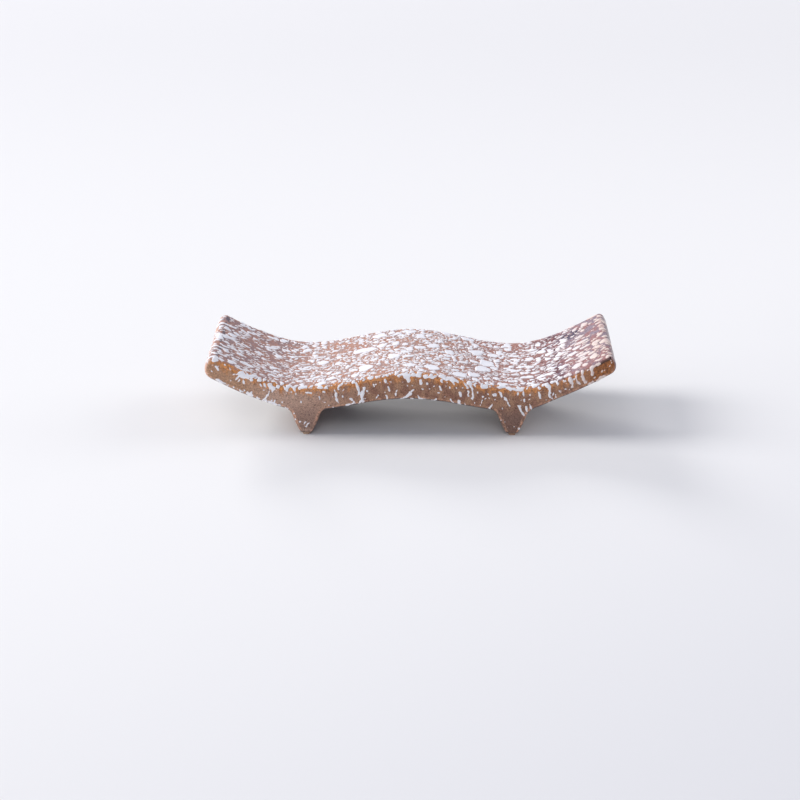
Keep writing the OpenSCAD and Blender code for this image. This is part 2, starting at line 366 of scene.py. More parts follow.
def outLine(step, rows):
    # Closed outline seen from the front, with a top point over each point of the underside
    cornerSteps = max(4, round(wave["cornerRun"] / step))
    under, cut = underLine(step)
    top = np.stack([under[:, 0], topHeight(under[:, 0])], 1)
    low = {side: cornerArc(side, "lowRadius", cornerSteps) for side in (-1, 1)}
    high = {side: cornerArc(side, "topRadius", cornerSteps) for side in (-1, 1)}
    cut = np.concatenate([np.zeros(cornerSteps + 1, bool), cut, np.zeros(cornerSteps + 1, bool)])
    under = np.concatenate([low[-1], under, low[1][::-1]])
    top = np.concatenate([high[-1], top, high[1][::-1]])
    rightFace = between(under[-1], top[-1], rows)[1:-1]
    leftFace = between(top[0], under[0], rows)[1:-1]
    line = np.concatenate([under, rightFace, top[::-1], leftFace])
    onCut = np.concatenate([cut, np.zeros(len(line) - len(cut), bool)])
    corners = [cornerSteps / 2, len(under) - 1 - cornerSteps / 2,
               len(under) + rows - 1 + cornerSteps / 2, 2 * len(under) + rows - 2 - cornerSteps / 2]
    return line, onCut, len(under), [round(c) for c in corners]


def outward(line, onCut):
    # Vector at each point that moves both of its edges out by one unit
    step = np.roll(line, -1, 0) - line
    normal = np.stack([step[:, 1], -step[:, 0]], 1) / np.linalg.norm(step, axis=1)[:, None]
    before = np.roll(normal, 1, 0)
    out = (normal + before) / (1 + (normal * before).sum(1))[:, None]
    for first, last in cutRuns(onCut):
        out[first] = [1 / before[first, 0], 0]
        out[last] = [1 / normal[last, 0], 0]
        share = np.linspace(0, 1, last - first + 1)[:, None]
        out[first:last + 1] = out[first] + (out[last] - out[first]) * share
    return out


def cutRuns(onCut):
    places = np.flatnonzero(onCut)
    breaks = np.flatnonzero(np.diff(places) > 1)
    starts = np.concatenate([places[:1], places[breaks + 1]])
    stops = np.concatenate([places[breaks], places[-1:]])
    return list(zip(starts, stops))


atlas = {
    "span": 112 * mm,  # width of the surface that one side of the bake map takes
    "gap": 0.8 * mm,
    "strips": 4,
}


def ringRows(step):
    # For each ring from front to back: its side, 0 on the flat stretch, its angle round the
    # edge, and its place as a share of half the depth
    arcSteps = max(3, round(wave["edgeRun"] / step))
    flatSteps = round((wave["depth"] - 2 * wave["edgeRadius"]) / step)
    angles = [math.pi / 2 * k / arcSteps for k in range(arcSteps)]
    return ([(-1, angle, -1) for angle in angles]
            + [(0, math.pi / 2, -1 + 2 * k / flatSteps) for k in range(flatSteps + 1)]
            + [(1, angle, 1) for angle in reversed(angles)])


def ringSurface(line, onCut, corners, rings):
    # Points and normals of the rings, how far each point is from the nearest edge or corner,
    # and the length of the outline up to each of its points
    out = outward(line, onCut)
    rounding = ease(clamp01(line[:, 1] / footRoot))
    radius = feet["edgeRadius"] + (wave["edgeRadius"] - feet["edgeRadius"]) * rounding
    flatWay = np.where(onCut[:, None], [[0, -1]], out / np.linalg.norm(out, axis=1)[:, None])
    lengths = np.linalg.norm(np.roll(line, -1, 0) - line, axis=1)
    along = np.concatenate([[0], np.cumsum(lengths)])
    apart = [abs(along[:-1] - along[c]) for c in corners]
    toCorner = np.min([np.minimum(far, along[-1] - far) for far in apart], axis=0)
    points, normals, toEdge = [], [], []
    for side, angle, share in rings:
        inset = radius * (1 - math.sin(angle))
        half = wave["depth"] / 2 - radius * (1 - math.cos(angle))
        flat = line - out * inset[:, None]
        y = half * share
        points.append(np.stack([flat[:, 0], y, flat[:, 1]], 1))
        flatX, flatZ = flatWay.T * math.sin(angle)
        normals.append(np.stack([flatX, np.full(len(line), side * math.cos(angle)), flatZ], 1))
        toEdge.append(np.minimum(radius * abs(angle - math.pi / 4) + (half - abs(y)), toCorner))
    return np.concatenate(points), np.concatenate(normals), np.concatenate(toEdge), along


def ringChart(along, y, k, i, j):
    # Bake map of the rings: strips of the outline side by side
    stripLength = along[-1] / atlas["strips"]
    strip = np.minimum((along[:-1] // stripLength).astype(int), atlas["strips"] - 1)[i]
    start, stop = along[i] - strip * stripLength, along[i + 1] - strip * stripLength
    left = (strip % 2) * atlas["span"] / 2 + atlas["gap"]
    bottom = (strip // 2) * (wave["depth"] + 2 * atlas["gap"]) + atlas["gap"] + wave["depth"] / 2
    corners = ((start, k + 1, i), (stop, k + 1, j), (stop, k, j), (start, k, i))
    chart = [np.stack([left + a, bottom + y[b, c]], -1) for a, b, c in corners]
    return np.stack(chart, 2).reshape(-1, 4, 2)


def faceGrid(first, count, columns, rows, fresh):
    # Numbers of the points of a flat face: the ring that starts at first is its rim, and the
    # points inside it are numbered from fresh on
    grid = np.zeros((rows + 1, columns), int)
    grid[0] = first + np.arange(columns)
    grid[rows] = first + 2 * columns + rows - 2 - np.arange(columns)
    grid[1:rows, -1] = first + columns + np.arange(rows - 1)
    grid[1:rows, 0] = first + count - 1 - np.arange(rows - 1)
    grid[1:rows, 1:-1] = fresh + np.arange((rows - 1) * (columns - 2)).reshape(rows - 1, columns - 2)
    return grid


def faceInside(points, grid):
    # Points inside a flat face, and how far each is from the middle of the nearest edge
    rows, columns = grid.shape[0] - 1, grid.shape[1]
    low, high = points[grid[0, 1:-1]], points[grid[rows, 1:-1]]
    share = np.arange(1, rows)[:, None, None] / rows
    inside = (low + (high - low) * share).reshape(-1, 3)
    toRim = np.minimum(share[..., 0], 1 - share[..., 0]) * np.linalg.norm(high - low, axis=1)
    x = inside[:, 0].reshape(rows - 1, columns - 2)
    toEnd = np.minimum(x - points[grid[0, 0], 0], points[grid[0, -1], 0] - x)
    return inside, np.minimum(toRim, abs(toEnd)).ravel() + wave["edgeRadius"] * math.pi / 4


def skinGrid(step, rows):
    # The whole glazed surface as quads: rings round the outline from front to back,
    # and a grid of rows over each of the two flat faces
    line, onCut, columns, corners = outLine(step, rows)
    count = len(line)
    rings = ringRows(step)
    points, normals, toEdge, along = ringSurface(line, onCut, corners, rings)
    k, i = np.meshgrid(np.arange(len(rings) - 1), np.arange(count), indexing="ij")
    j = (i + 1) % count
    near, far = k * count, (k + 1) * count
    quads = np.stack([far + i, far + j, near + j, near + i], -1).reshape(-1, 4)
    chart = ringChart(along, points[:, 1].reshape(len(rings), count), k, i, j)
    for side, ring in ((-1, 0), (1, len(rings) - 1)):
        grid = faceGrid(ring * count, count, columns, rows, len(points))
        inside, fromEdge = faceInside(points, grid)
        points = np.concatenate([points, inside])
        normals = np.concatenate([normals, np.tile([0, side, 0], (len(inside), 1))])
        toEdge = np.concatenate([toEdge, fromEdge])
        face = np.stack([grid[:-1, :-1], grid[:-1, 1:], grid[1:, 1:], grid[1:, :-1]], -1).reshape(-1, 4)
        face = face if side < 0 else face[:, ::-1]
        quads = np.concatenate([quads, face])
        base = 2 * (wave["depth"] + 2 * atlas["gap"]) + (0 if side < 0 else cadBox[1][2] + atlas["gap"])
        spot = points[face][..., [0, 2]] + [wave["length"] / 2 + atlas["gap"], base]
        chart = np.concatenate([chart, spot])
    return {"points": points, "normals": normals, "quads": quads,
            "chart": chart / atlas["span"], "toEdge": toEdge}


def hashed(cell, seed):
    mixed = cell @ np.array([73856093, 19349663, 83492791]) + seed * 668265263
    mixed = (mixed ^ (mixed >> 13)) * 1274126177
    return ((mixed ^ (mixed >> 16)) & 0xffff) / 32767.5 - 1


def softNoise(points, size, seed):
    # Smooth random values from -1 to 1, about one swell in each size
    cells = points / size + 0.37 * seed
    low = np.floor(cells).astype(np.int64)
    part = ease(cells - low)
    total = np.zeros(len(points))
    for corner in np.ndindex(2, 2, 2):
        weight = np.prod(np.where(corner, part, 1 - part), axis=1)
        total += weight * hashed(low + np.array(corner), seed)
    return total


coat = {
    "step": 0.31 * mm,
    "rows": 18,
    # size and height of the swells that the brush and the fire leave
    "swells": ((6 * mm, 0.07 * mm), (2.2 * mm, 0.035 * mm), (0.9 * mm, 0.016 * mm)),
    "seed": 3,
}


def unevenSkin(skin):
    # The foot ends stay straight, where the glaze is wiped to a clean line
    fade = clamp01((skin["points"][:, 2] - feet["glazeLine"]) / mm)
    height = sum(tall * softNoise(skin["points"], size, coat["seed"] + i)
                 for i, (size, tall) in enumerate(coat["swells"]))
    skin["points"] = skin["points"] + skin["normals"] * (height * fade)[:, None]
    return skin


def makePiece(name, points, faces, chart, replaced, values=None):
    corners = faces.shape[1]
    mesh = bpy.data.meshes.new(name)
    mesh.vertices.add(len(points))
    mesh.vertices.foreach_set("co", points.astype(np.float32).ravel())
    mesh.loops.add(faces.size)
    mesh.loops.foreach_set("vertex_index", faces.astype(np.int32).ravel())
    mesh.polygons.add(len(faces))
    mesh.polygons.foreach_set("loop_start", np.arange(0, faces.size, corners, dtype=np.int32))
    mesh.update(calc_edges=True)
    mesh.validate()
    mesh.shade_smooth()
    bakeMap = mesh.uv_layers.new(name="OFBake")
    bakeMap.data.foreach_set("uv", chart.astype(np.float32).ravel())
    for label, numbers in (values or {}).items():
        layer = mesh.attributes.new(label, "FLOAT", "POINT")
        layer.data.foreach_set("value", numbers.astype(np.float32))
    piece = newObject(name, mesh)
    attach(piece, "root")
    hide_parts(*replaced)
    print(name, len(points), "points", len(faces), "faces")
    return piece


skin = unevenSkin(skinGrid(coat["step"], coat["rows"]))
belowTop = topHeight(skin["points"][:, 0]) - skin["points"][:, 2]
brownPiece = makePiece("brownGlazeCoat", skin["points"], skin["quads"], skin["chart"],
                       ["brown_glaze"], {"toEdge": skin["toEdge"] / mm, "belowTop": belowTop / mm})


# White glaze: islands, dots and runs that stand up from the brown

flecks = {
    "step": 0.165 * mm,
    "rows": 32,
    "seed": 11,
    "noiseSeeds": {"clouds": 21, "warp": 31, "height": 41, "gap": 51, "crumbs": 61, "patches": 71},
    "height": 0.17 * mm,
    "rimShare": 0.25,  # of the height, at the rim
    "uneven": (1.4 * mm, 0.85, 0.3),  # size of the swells, middle share of the height, how far they go
    "shoulder": 0.3 * mm,
    "sink": 0.05 * mm,
    "merge": 0.07 * mm,
    "reach": 0.5 * mm,  # how far round a fleck its rim is worked out
    "warps": ((1.2 * mm, 0.24 * mm), (0.4 * mm, 0.2 * mm)),
    "gap": (0.1 * mm, 0.28 * mm),  # brown lines between neighbours, least and most
    "gapPatch": 2.5 * mm,
    "gapMore": (0.06 * mm, 28 * mm, 8 * mm),  # how much wider on the right wing, from where, over what run
    "crowd": 0.4,  # how far a centre keeps from its neighbours' rims, in its own radii
    # name: how many, middle radius, spread of the radii, most circles in one
    "kinds": {
        "islands": (120, 0.5 * mm, 0.35, 6),
        "flakes": (1450, 0.27 * mm, 0.45, 3),
    },
    "sizes": (0.7, 1.2),  # of the circles in one fleck
    "longer": (1, 1.5),  # how many times longer than wide
    "longerSpread": (0.8, 1.2),
    "lean": 0.7,  # spread of the way that the flecks lie, in radians
    "wing": (20 * mm, 10 * mm),  # where they start to be drawn out along the wings, over what run
    "wingLean": 0.45,  # and how much less they lean, how much longer and smaller they are
    "wingStretch": (0.5, 1.8),
    "wingSmaller": 0.32,
    "rightEnd": (33 * mm, 4 * mm),  # where they start to be round again, over what run
    "endLarger": 0.3,
    "endRounder": 0.75,
    "endFewer": 0.45,
    "clouds": (8 * mm, 0.15),  # size and strength of the denser patches
    "bareShare": 0.9,  # how empty the bare places and the right face are
    "cornerBare": 0.8,  # and the left end's upper corner
    "leftFace": 0.1,  # how dense the left face is, beside the top
    "faces": 38 * mm,  # the end faces lie beyond this, and the left end's upper corner beyond the next
    "corner": 37.5 * mm,
    "elsewhere": 0.006,
    # places with few flecks: along, across, size
    "bare": ((-38.8 * mm, 11.6 * mm, 3.4 * mm), (-36 * mm, -14 * mm, 1.5 * mm),
             (40.5 * mm, -14.5 * mm, 1.5 * mm)),
    # pieces and the places along the rest that part them
    "pieces": ("whiteFlecksLeftWing", "whiteFlecksLeftDip", "whiteFlecksRightDip", "whiteFlecksRightWing"),
    "parting": (-21 * mm, 0.0, 21 * mm),
}
islands = {
    "lobes": 5,
    "lobe": 0.66,  # size of a lobe beside its island's half width
    "swing": 0.3,  # how far the lobes stray round their ring, in steps between them
    "sizes": (0.7, 1.15),
    "lean": 0.6,  # spread of the way that the lobes lie, in radians
}
strokes = {
    "spacing": 0.8,  # of the circles along a run, in half widths
    "start": 1.08,  # size at the start, beside the half width
    "thinner": 0.3,  # and how much smaller at the end
    "ridgeSpacing": 0.6,
    "ridgeWander": 0.15,
    "ridgeSizes": (0.75, 1.15),
}

# The small white crumbs between the flecks, where a noise lies above a level
crumbs = {
    "noise": ((0.52 * mm, 1.0), (0.32 * mm, 0.75)),  # sizes and shares
    "slope": 0.2 * mm,
    # in the middle, and how much higher in the dips, on the wings and at the right end
    "level": (0.2, 0.1, 0.26, 0.5),
    "dips": (9 * mm, 0.8),
    "wing": (18 * mm, 10 * mm),  # where they are drawn out, over what run
    "drawnOut": (0.5, 0.15),  # how much longer along, and finer across
    "patch": (3.0 * mm, 0.22),
    "gap": 0.12 * mm,  # brown line that is left round the islands
    "rare": (0.75, 1.6),  # below this density the level rises, by up to this
    # places with many crumbs: along, across, size, how much lower the level is there
    "dense": ((-29 * mm, -10 * mm, 8 * mm, 0.35), (27 * mm, -8 * mm, 7 * mm, 0.25),
              (25 * mm, 6 * mm, 7 * mm, 0.2), (-19 * mm, -6 * mm, 7 * mm, 0.2),
              (32 * mm, -4 * mm, 5 * mm, 0.3)),
}

# Beads that hang over the upper edges
beads = {
    "span": (-0.485, 0.455),  # shares of the length
    "pitch": 0.85 * mm,
    "pitchSpread": (0.6, 1.4),
    "radius": (0.2 * mm, 0.52 * mm),
    "many": (-33 * mm, 33.5 * mm),  # they are few beyond these
    "chance": {-1: 0.85, 1: 0.5},
    "fewChance": 0.25,
    "breakChance": 0.3,
    "drop": (-0.7, 0.6),  # mm inwards and down from the edge
    "inset": 0.25 * mm,
    "low": 0.1 * mm,
    "overlap": 0.4,
}
faceDots = {
    "count": 110,
    "span": (-0.49, 0.49),  # shares of the length
    "radius": (0.07 * mm, 0.14 * mm),
    "below": 0.7 * mm,  # the highest ones, below the top
    "depths": (1.0, 1.9),  # most lie high, and few low
    "room": 1.2,
    "lean": 0.08,
    "long": (0.01, 0.3),  # mm
}
# The photograph doesn't show the back, so its runs are like the front's at random places
backRuns = {
    "count": 46,
    "span": (-0.47, 0.47),  # shares of the length
    "long": (0.4, 2.4),  # mm, as the next ones
    "wide": (0.13, 0.34),
    "below": (0.5, 2.2),
    "lean": 0.2,
    "lowChance": 0.35,  # of one that lies along the lower edge
    "lowWide": (0.16, 0.32),
    "lift": 0.1 * mm,
    "overFeet": 3.5 * mm,  # none of those lies lower
    "spur": (0.5 * mm, 0.9 * mm, 0.13 * mm),  # most lean, height and half width
}

# The largest islands on the top: place along, place across, half length, half width, in mm
topIslands = (
    (-37.6, -6.7, 0.8, 1.0), (-37.3, 3.3, 1.1, 1.0), (-38.5, 5.6, 1.2, 1.0), (-35.1, 12.2, 1.8, 0.9),
    (-39.5, -0.5, 0.9, 1.2), (-39.3, -13.9, 0.8, 1.0), (-36.0, -12.0, 1.3, 1.1), (-33.5, -9.4, 1.9, 0.9),
    (-31.6, -0.3, 1.1, 0.8), (-27.3, 12.0, 0.9, 1.2), (-27.7, 1.7, 0.9, 1.2), (-26.4, 8.1, 0.4, 1.2),
    (-24.8, 3.5, 1.3, 0.7), (-35.0, -5.3, 1.0, 0.7), (-35.3, 7.7, 1.5, 0.7), (-29.7, 3.8, 0.7, 0.6),
    (-10.1, 3.2, 2.8, 1.6), (-9.1, -8.3, 1.4, 2.0), (-18.2, -0.5, 1.0, 1.4), (-15.0, 1.7, 0.8, 1.0),
    (-0.6, 11.8, 1.7, 1.4), (-3.2, 4.6, 0.9, 1.4), (-3.5, -3.3, 1.4, 1.9), (0.0, -9.5, 1.3, 1.1),
    (-22.6, 9.9, 0.8, 1.4), (-0.8, -1.2, 1.4, 1.1), (-22.3, -3.7, 1.7, 0.8), (-12.9, -5.5, 0.7, 1.2),
    (-16.0, -10.6, 1.0, 1.0), (-11.2, -11.6, 0.9, 1.1), (-23.3, -5.3, 0.8, 0.8), (-20.6, 11.1, 0.6, 0.8),
    (4.9, 3.7, 1.2, 1.4), (4.4, -10.0, 1.6, 2.0), (8.0, 0.9, 1.1, 1.2), (1.9, 1.7, 1.4, 1.0),
    (20.4, 10.6, 1.1, 2.6), (17.5, 4.4, 1.5, 1.1), (17.8, 1.4, 0.8, 1.3), (14.7, -5.0, 1.7, 1.8),
    (10.1, -11.4, 1.5, 1.7), (12.9, -9.8, 1.4, 1.4), (13.5, -12.4, 0.9, 1.1), (13.6, 8.6, 0.8, 1.3),
    (10.3, 6.8, 0.7, 1.2), (7.2, 13.2, 0.9, 1.2), (22.0, 2.4, 0.8, 1.4), (4.2, -4.5, 1.2, 0.8),
    (10.9, -3.3, 1.0, 0.8), (-1.2, 3.7, 0.8, 1.0), (9.0, 10.9, 0.8, 1.1), (17.3, -3.4, 0.9, 1.1),
    (3.8, 9.8, 0.8, 1.0), (15.6, -10.5, 0.8, 0.8), (18.9, -12.7, 1.1, 1.0), (26.8, 1.1, 0.8, 1.5),
    (24.8, 2.4, 0.8, 1.2), (23.6, -5.9, 1.4, 1.0), (27.0, 10.1, 0.8, 1.0), (23.8, -8.4, 1.7, 0.8),
    (25.2, -13.6, 1.0, 0.7), (30.6, 3.8, 0.8, 1.0), (27.5, 5.2, 1.3, 1.2), (28.9, 2.4, 1.0, 0.8),
    (28.3, -0.3, 0.9, 0.8), (30.3, -1.7, 1.0, 1.1), (29.1, -6.1, 1.3, 0.9), (31.4, -7.6, 1.3, 0.8),
    (32.0, 7.2, 1.0, 1.5), (31.6, 10.5, 0.9, 0.7), (32.7, 12.0, 0.9, 0.6), (32.4, 0.9, 1.3, 0.9),
    (33.3, -2.8, 1.3, 1.1), (34.4, -0.3, 1.3, 1.1), (32.6, -5.3, 1.2, 0.6), (34.9, -4.5, 1.2, 0.7),
    (33.9, -10.8, 1.2, 1.4), (35.3, -12.4, 0.7, 0.9), (35.2, -7.5, 0.6, 0.6), (36.0, -2.0, 1.2, 0.7),
    (36.3, 0.4, 1.0, 0.7), (35.3, 5.3, 1.1, 0.7), (36.0, 8.1, 0.6, 0.7), (34.9, 10.7, 0.8, 1.0),
    (36.6, 11.2, 1.0, 1.3), (34.4, 13.6, 1.0, 0.8), (37.2, -9.7, 1.1, 1.7), (38.3, -3.1, 1.0, 1.6),
    (39.1, 1.1, 0.6, 1.3), (37.9, -6.8, 0.5, 0.7), (39.5, -5.9, 0.6, 1.1), (39.2, -11.8, 0.7, 0.8),
    (40.0, -9.0, 0.5, 0.7), (40.3, -1.4, 0.7, 1.0), (40.1, 3.6, 0.8, 0.8), (39.8, 5.9, 0.9, 0.7),
    (39.7, 7.9, 0.9, 0.6), (39.6, 9.7, 0.9, 0.7), (40.0, 11.8, 0.9, 0.8))

# Ridges of white that hang over the left end: place across, how far they reach on the top
# and down the end, half width, in mm
endRidges = (
    (12.6, -0.6, 2.4, 0.22), (8.3, 2.0, 0.4, 0.6), (6.3, -0.7, 2.6, 0.26), (4.6, -0.5, 1.2, 0.22),
    (1.2, 2.2, 0.6, 0.62), (-0.8, -0.4, 2.4, 0.22), (-2.2, 1.7, 0.3, 0.3), (-4.6, 1.9, 0.9, 0.32),
    (-6.5, 1.2, 1.6, 0.3), (-7.8, -0.4, 1.2, 0.2), (-9.0, 0.8, 0.2, 0.22), (-10.3, 1.8, 1.3, 0.32),
    (-12.9, 1.3, 0.2, 0.55))

# Splashes and runs on the front face, each of one or more strokes. A stroke runs from
# its first place to its second one, along and up, and the last number is its half width, in mm.
frontRuns = (
    ((-33.8, 13.2, -33.7, 12.6, 0.58), (-34.3, 12.8, -35.2, 11.6, 0.1), (-33.8, 12.4, -33.6, 10.9, 0.13),
     (-33.6, 11.0, -33.0, 10.6, 0.11), (-33.3, 12.6, -32.4, 11.9, 0.2), (-34.4, 13.2, -35.8, 12.9, 0.09),
     (-34.2, 12.2, -34.6, 11.3, 0.08)), ((-32.2, 11.8, -31.9, 11.6, 0.28),),
    ((-39.0, 14.7, -38.8, 13.7, 0.22),), ((-37.4, 15.1, -37.1, 14.7, 0.14),),
    ((-36.4, 14.4, -36.2, 13.9, 0.12),),
    ((-30.6, 11.9, -30.4, 11.7, 0.38),), ((-29.4, 10.9, -29.2, 10.3, 0.18),),
    ((-30.2, 10.8, -30.0, 9.9, 0.14),),
    ((-28.3, 10.8, -27.8, 10.0, 0.45), (-28.2, 10.0, -28.7, 8.3, 0.14), (-27.8, 9.8, -27.5, 8.2, 0.13),
     (-27.8, 10.4, -27.1, 9.6, 0.2)),
    ((-25.6, 10.4, -25.2, 9.7, 0.24), (-25.0, 10.0, -24.7, 9.3, 0.13)),
    ((-23.5, 10.3, -23.2, 9.8, 0.3), (-23.3, 9.8, -23.1, 8.6, 0.18)), ((-20.9, 9.1, -19.8, 8.9, 0.16),),
    ((-18.4, 8.5, -18.5, 7.5, 0.13),), ((-17.7, 9.5, -17.6, 9.0, 0.12),), ((-16.8, 11.0, -16.2, 10.8, 0.5),),
    ((-15.2, 9.9, -15.1, 8.9, 0.13), (-15.1, 8.7, -14.9, 8.2, 0.27), (-14.9, 8.1, -14.5, 6.9, 0.15)),
    ((-14.3, 10.4, -14.3, 9.8, 0.14),), ((-13.6, 8.5, -13.5, 8.2, 0.14),),
    ((-10.7, 11.0, -10.2, 8.8, 0.26), (-10.0, 8.8, -9.5, 8.6, 0.24), (-9.2, 10.3, -9.6, 8.4, 0.28),
     (-9.7, 8.4, -9.8, 7.2, 0.28), (-10.0, 7.4, -10.5, 6.7, 0.14)),
    ((-8.7, 9.6, -8.6, 9.4, 0.2),), ((-7.5, 11.1, -7.4, 10.9, 0.16),), ((-12.0, 8.0, -11.1, 6.8, 0.12),),
    ((-6.9, 8.0, -6.2, 8.7, 0.1),), ((-3.2, 8.2, -2.5, 9.6, 0.1),),
    ((-5.0, 11.8, -4.8, 11.2, 0.32),), ((-3.9, 11.7, -3.7, 11.1, 0.22),), ((-4.4, 10.2, -4.1, 9.5, 0.24),),
    ((-5.1, 9.6, -5.0, 9.4, 0.14),), ((-0.9, 13.0, -0.1, 12.9, 0.6), (-0.4, 12.8, -0.2, 11.6, 0.34)),
    ((-0.6, 10.9, -0.5, 10.6, 0.14),), ((0.3, 10.9, 0.5, 10.6, 0.12),), ((1.7, 13.0, 2.0, 12.7, 0.42),),
    ((3.2, 12.8, 3.5, 12.5, 0.4),), ((1.1, 12.2, 1.2, 12.0, 0.15),), ((2.3, 11.7, 2.4, 11.0, 0.33),),
    ((3.6, 11.2, 4.0, 10.0, 0.13),), ((6.1, 10.7, 6.3, 9.7, 0.2),), ((6.3, 11.9, 6.6, 11.6, 0.28),),
    ((7.6, 11.3, 7.7, 11.1, 0.13),), ((8.0, 10.5, 8.1, 10.2, 0.16),), ((8.5, 11.7, 8.7, 11.3, 0.24),),
    ((9.4, 11.9, 9.7, 11.5, 0.34),), ((9.3, 10.6, 9.4, 10.4, 0.13),), ((10.9, 11.6, 11.1, 11.2, 0.28),
     (11.3, 11.4, 11.9, 8.5, 0.16)), ((12.0, 11.6, 12.5, 9.4, 0.25), (12.6, 9.3, 13.1, 6.6, 0.14)),
    ((12.9, 11.3, 13.2, 10.6, 0.27),), ((14.8, 10.8, 15.4, 10.5, 0.45),), ((10.3, 9.4, 10.4, 8.4, 0.27),),
    ((9.9, 7.5, 10.1, 7.1, 0.16),), ((8.2, 7.9, 9.0, 6.8, 0.12),), ((14.2, 6.7, 14.8, 7.8, 0.1),),
    ((16.3, 6.2, 16.8, 7.0, 0.09),), ((16.0, 8.2, 16.1, 8.0, 0.14),), ((15.6, 9.2, 15.7, 8.9, 0.17),),
    ((16.9, 8.9, 17.1, 8.7, 0.24),), ((13.7, 9.4, 13.8, 9.2, 0.13),), ((14.7, 8.5, 14.8, 8.3, 0.13),),
    ((18.1, 9.2, 18.6, 8.4, 0.22), (18.7, 8.4, 19.4, 7.9, 0.16), (19.3, 8.0, 20.3, 6.2, 0.17)),
    ((18.6, 6.1, 18.7, 5.9, 0.12),), ((20.9, 10.2, 21.2, 10.0, 0.45),), ((21.9, 9.1, 22.0, 8.8, 0.26),),
    ((23.0, 9.4, 23.3, 8.6, 0.16),), ((24.4, 9.0, 24.5, 8.6, 0.14),), ((26.0, 9.4, 26.5, 8.2, 0.28),),
    ((22.9, 8.0, 23.1, 7.5, 0.2),), ((22.2, 6.5, 23.0, 4.4, 0.24),), ((23.5, 6.4, 24.2, 5.0, 0.17),),
    ((24.3, 7.0, 24.8, 5.6, 0.08),), ((19.2, 3.2, 19.3, 3.0, 0.12),), ((19.8, 2.1, 19.9, 1.9, 0.13),),
    ((22.2, 1.7, 22.4, 1.3, 0.18),), ((21.2, 2.1, 21.2, 1.9, 0.09),),
    ((27.5, 11.3, 28.1, 10.7, 0.5), (28.0, 10.6, 28.3, 8.8, 0.25), (28.2, 8.6, 28.7, 7.9, 0.14)),
    ((29.3, 11.9, 29.8, 11.2, 0.3),), ((28.9, 9.4, 29.5, 8.2, 0.13),), ((30.2, 10.0, 30.4, 9.6, 0.16),),
    ((31.3, 10.4, 31.4, 10.2, 0.14),), ((32.0, 13.0, 32.4, 12.2, 0.3), (32.4, 12.2, 32.8, 10.6, 0.42)),
    ((33.5, 13.0, 33.8, 11.7, 0.2), (33.8, 11.5, 34.4, 11.2, 0.24)), ((31.0, 12.0, 31.1, 11.6, 0.15),),
    ((32.5, 9.7, 32.6, 9.4, 0.12),), ((34.5, 14.2, 34.9, 12.8, 0.3), (34.9, 12.8, 35.4, 11.6, 0.36)),
    ((36.4, 14.6, 36.7, 13.3, 0.34), (36.6, 14.9, 38.0, 15.5, 0.3)), ((37.0, 12.9, 37.1, 12.7, 0.12),),
    ((38.6, 14.2, 38.8, 13.9, 0.11),), ((39.2, 14.4, 39.3, 14.1, 0.09),),
    ((-23.9, 4.3, -23.5, 4.8, 0.1),), ((-22.6, 3.5, -22.4, 3.8, 0.1),), ((-22.4, 2.7, -22.1, 3.1, 0.1),),
    ((-21.4, 2.3, -21.1, 2.8, 0.1),), ((-21.0, 1.7, -20.3, 2.7, 0.12),), ((-23.5, 3.1, -23.2, 3.3, 0.08),),
    # Along the lower edge
    ((-38.6, 11.4, -37.6, 10.9, 0.36), (-37.4, 10.8, -36.6, 10.5, 0.26)), ((-35.7, 10.2, -35.1, 9.9, 0.24),),
    ((-34.3, 9.5, -33.9, 9.3, 0.2),), ((-33.0, 8.8, -31.8, 8.1, 0.34), (-32.4, 8.6, -32.0, 9.2, 0.18)),
    ((-30.9, 7.7, -30.6, 7.6, 0.2),), ((-29.9, 7.3, -29.0, 7.2, 0.32), (-29.5, 7.4, -28.9, 8.4, 0.16)),
    ((-28.2, 7.0, -27.2, 6.5, 0.34), (-27.6, 6.8, -27.3, 7.5, 0.14)), ((-26.6, 6.3, -25.9, 6.0, 0.3),),
    ((-25.3, 5.7, -24.8, 5.2, 0.22),), ((-24.4, 4.9, -24.1, 4.5, 0.14),),
    ((-16.8, 5.0, -16.2, 5.5, 0.2), (-16.4, 5.4, -16.5, 6.4, 0.13), (-16.2, 5.4, -15.5, 6.0, 0.12)),
    ((-13.1, 6.4, -10.9, 6.9, 0.2),), ((-9.6, 7.0, -9.2, 7.2, 0.22),),
    ((-5.2, 7.5, -3.9, 7.6, 0.26), (-4.6, 7.6, -4.7, 8.9, 0.15)),
    ((-2.1, 7.6, -0.9, 8.0, 0.26), (-1.4, 7.9, 0.2, 9.0, 0.36), (-0.3, 9.0, 0.8, 10.0, 0.15)),
    ((1.8, 7.9, 3.4, 7.8, 0.17), (1.9, 8.0, 1.7, 8.6, 0.1)), ((0.2, 7.8, 0.8, 7.8, 0.14),),
    ((4.4, 7.5, 5.8, 7.4, 0.2), (5.3, 7.5, 5.5, 8.0, 0.12)), ((9.6, 7.0, 10.4, 6.9, 0.18),),
    ((10.9, 6.6, 12.0, 6.2, 0.16), (11.1, 6.7, 11.0, 7.3, 0.1)),
    ((16.1, 6.1, 17.5, 4.8, 0.12),), ((18.0, 3.9, 18.5, 3.2, 0.13),), ((27.9, 6.6, 29.3, 7.5, 0.34),),
    ((31.9, 8.8, 32.5, 9.0, 0.16),), ((33.6, 9.8, 34.1, 10.2, 0.2),), ((36.2, 11.3, 36.9, 11.8, 0.26),),
    ((37.7, 11.9, 39.4, 12.8, 0.34), (38.2, 12.4, 39.2, 13.0, 0.42)),
)


def vertexAreas(skin):
    p = skin["points"][skin["quads"]]
    area = np.linalg.norm(np.cross(p[:, 2] - p[:, 0], p[:, 3] - p[:, 1]), axis=1) / 2
    return np.bincount(skin["quads"].ravel(), np.repeat(area / 4, 4), len(skin["points"]))


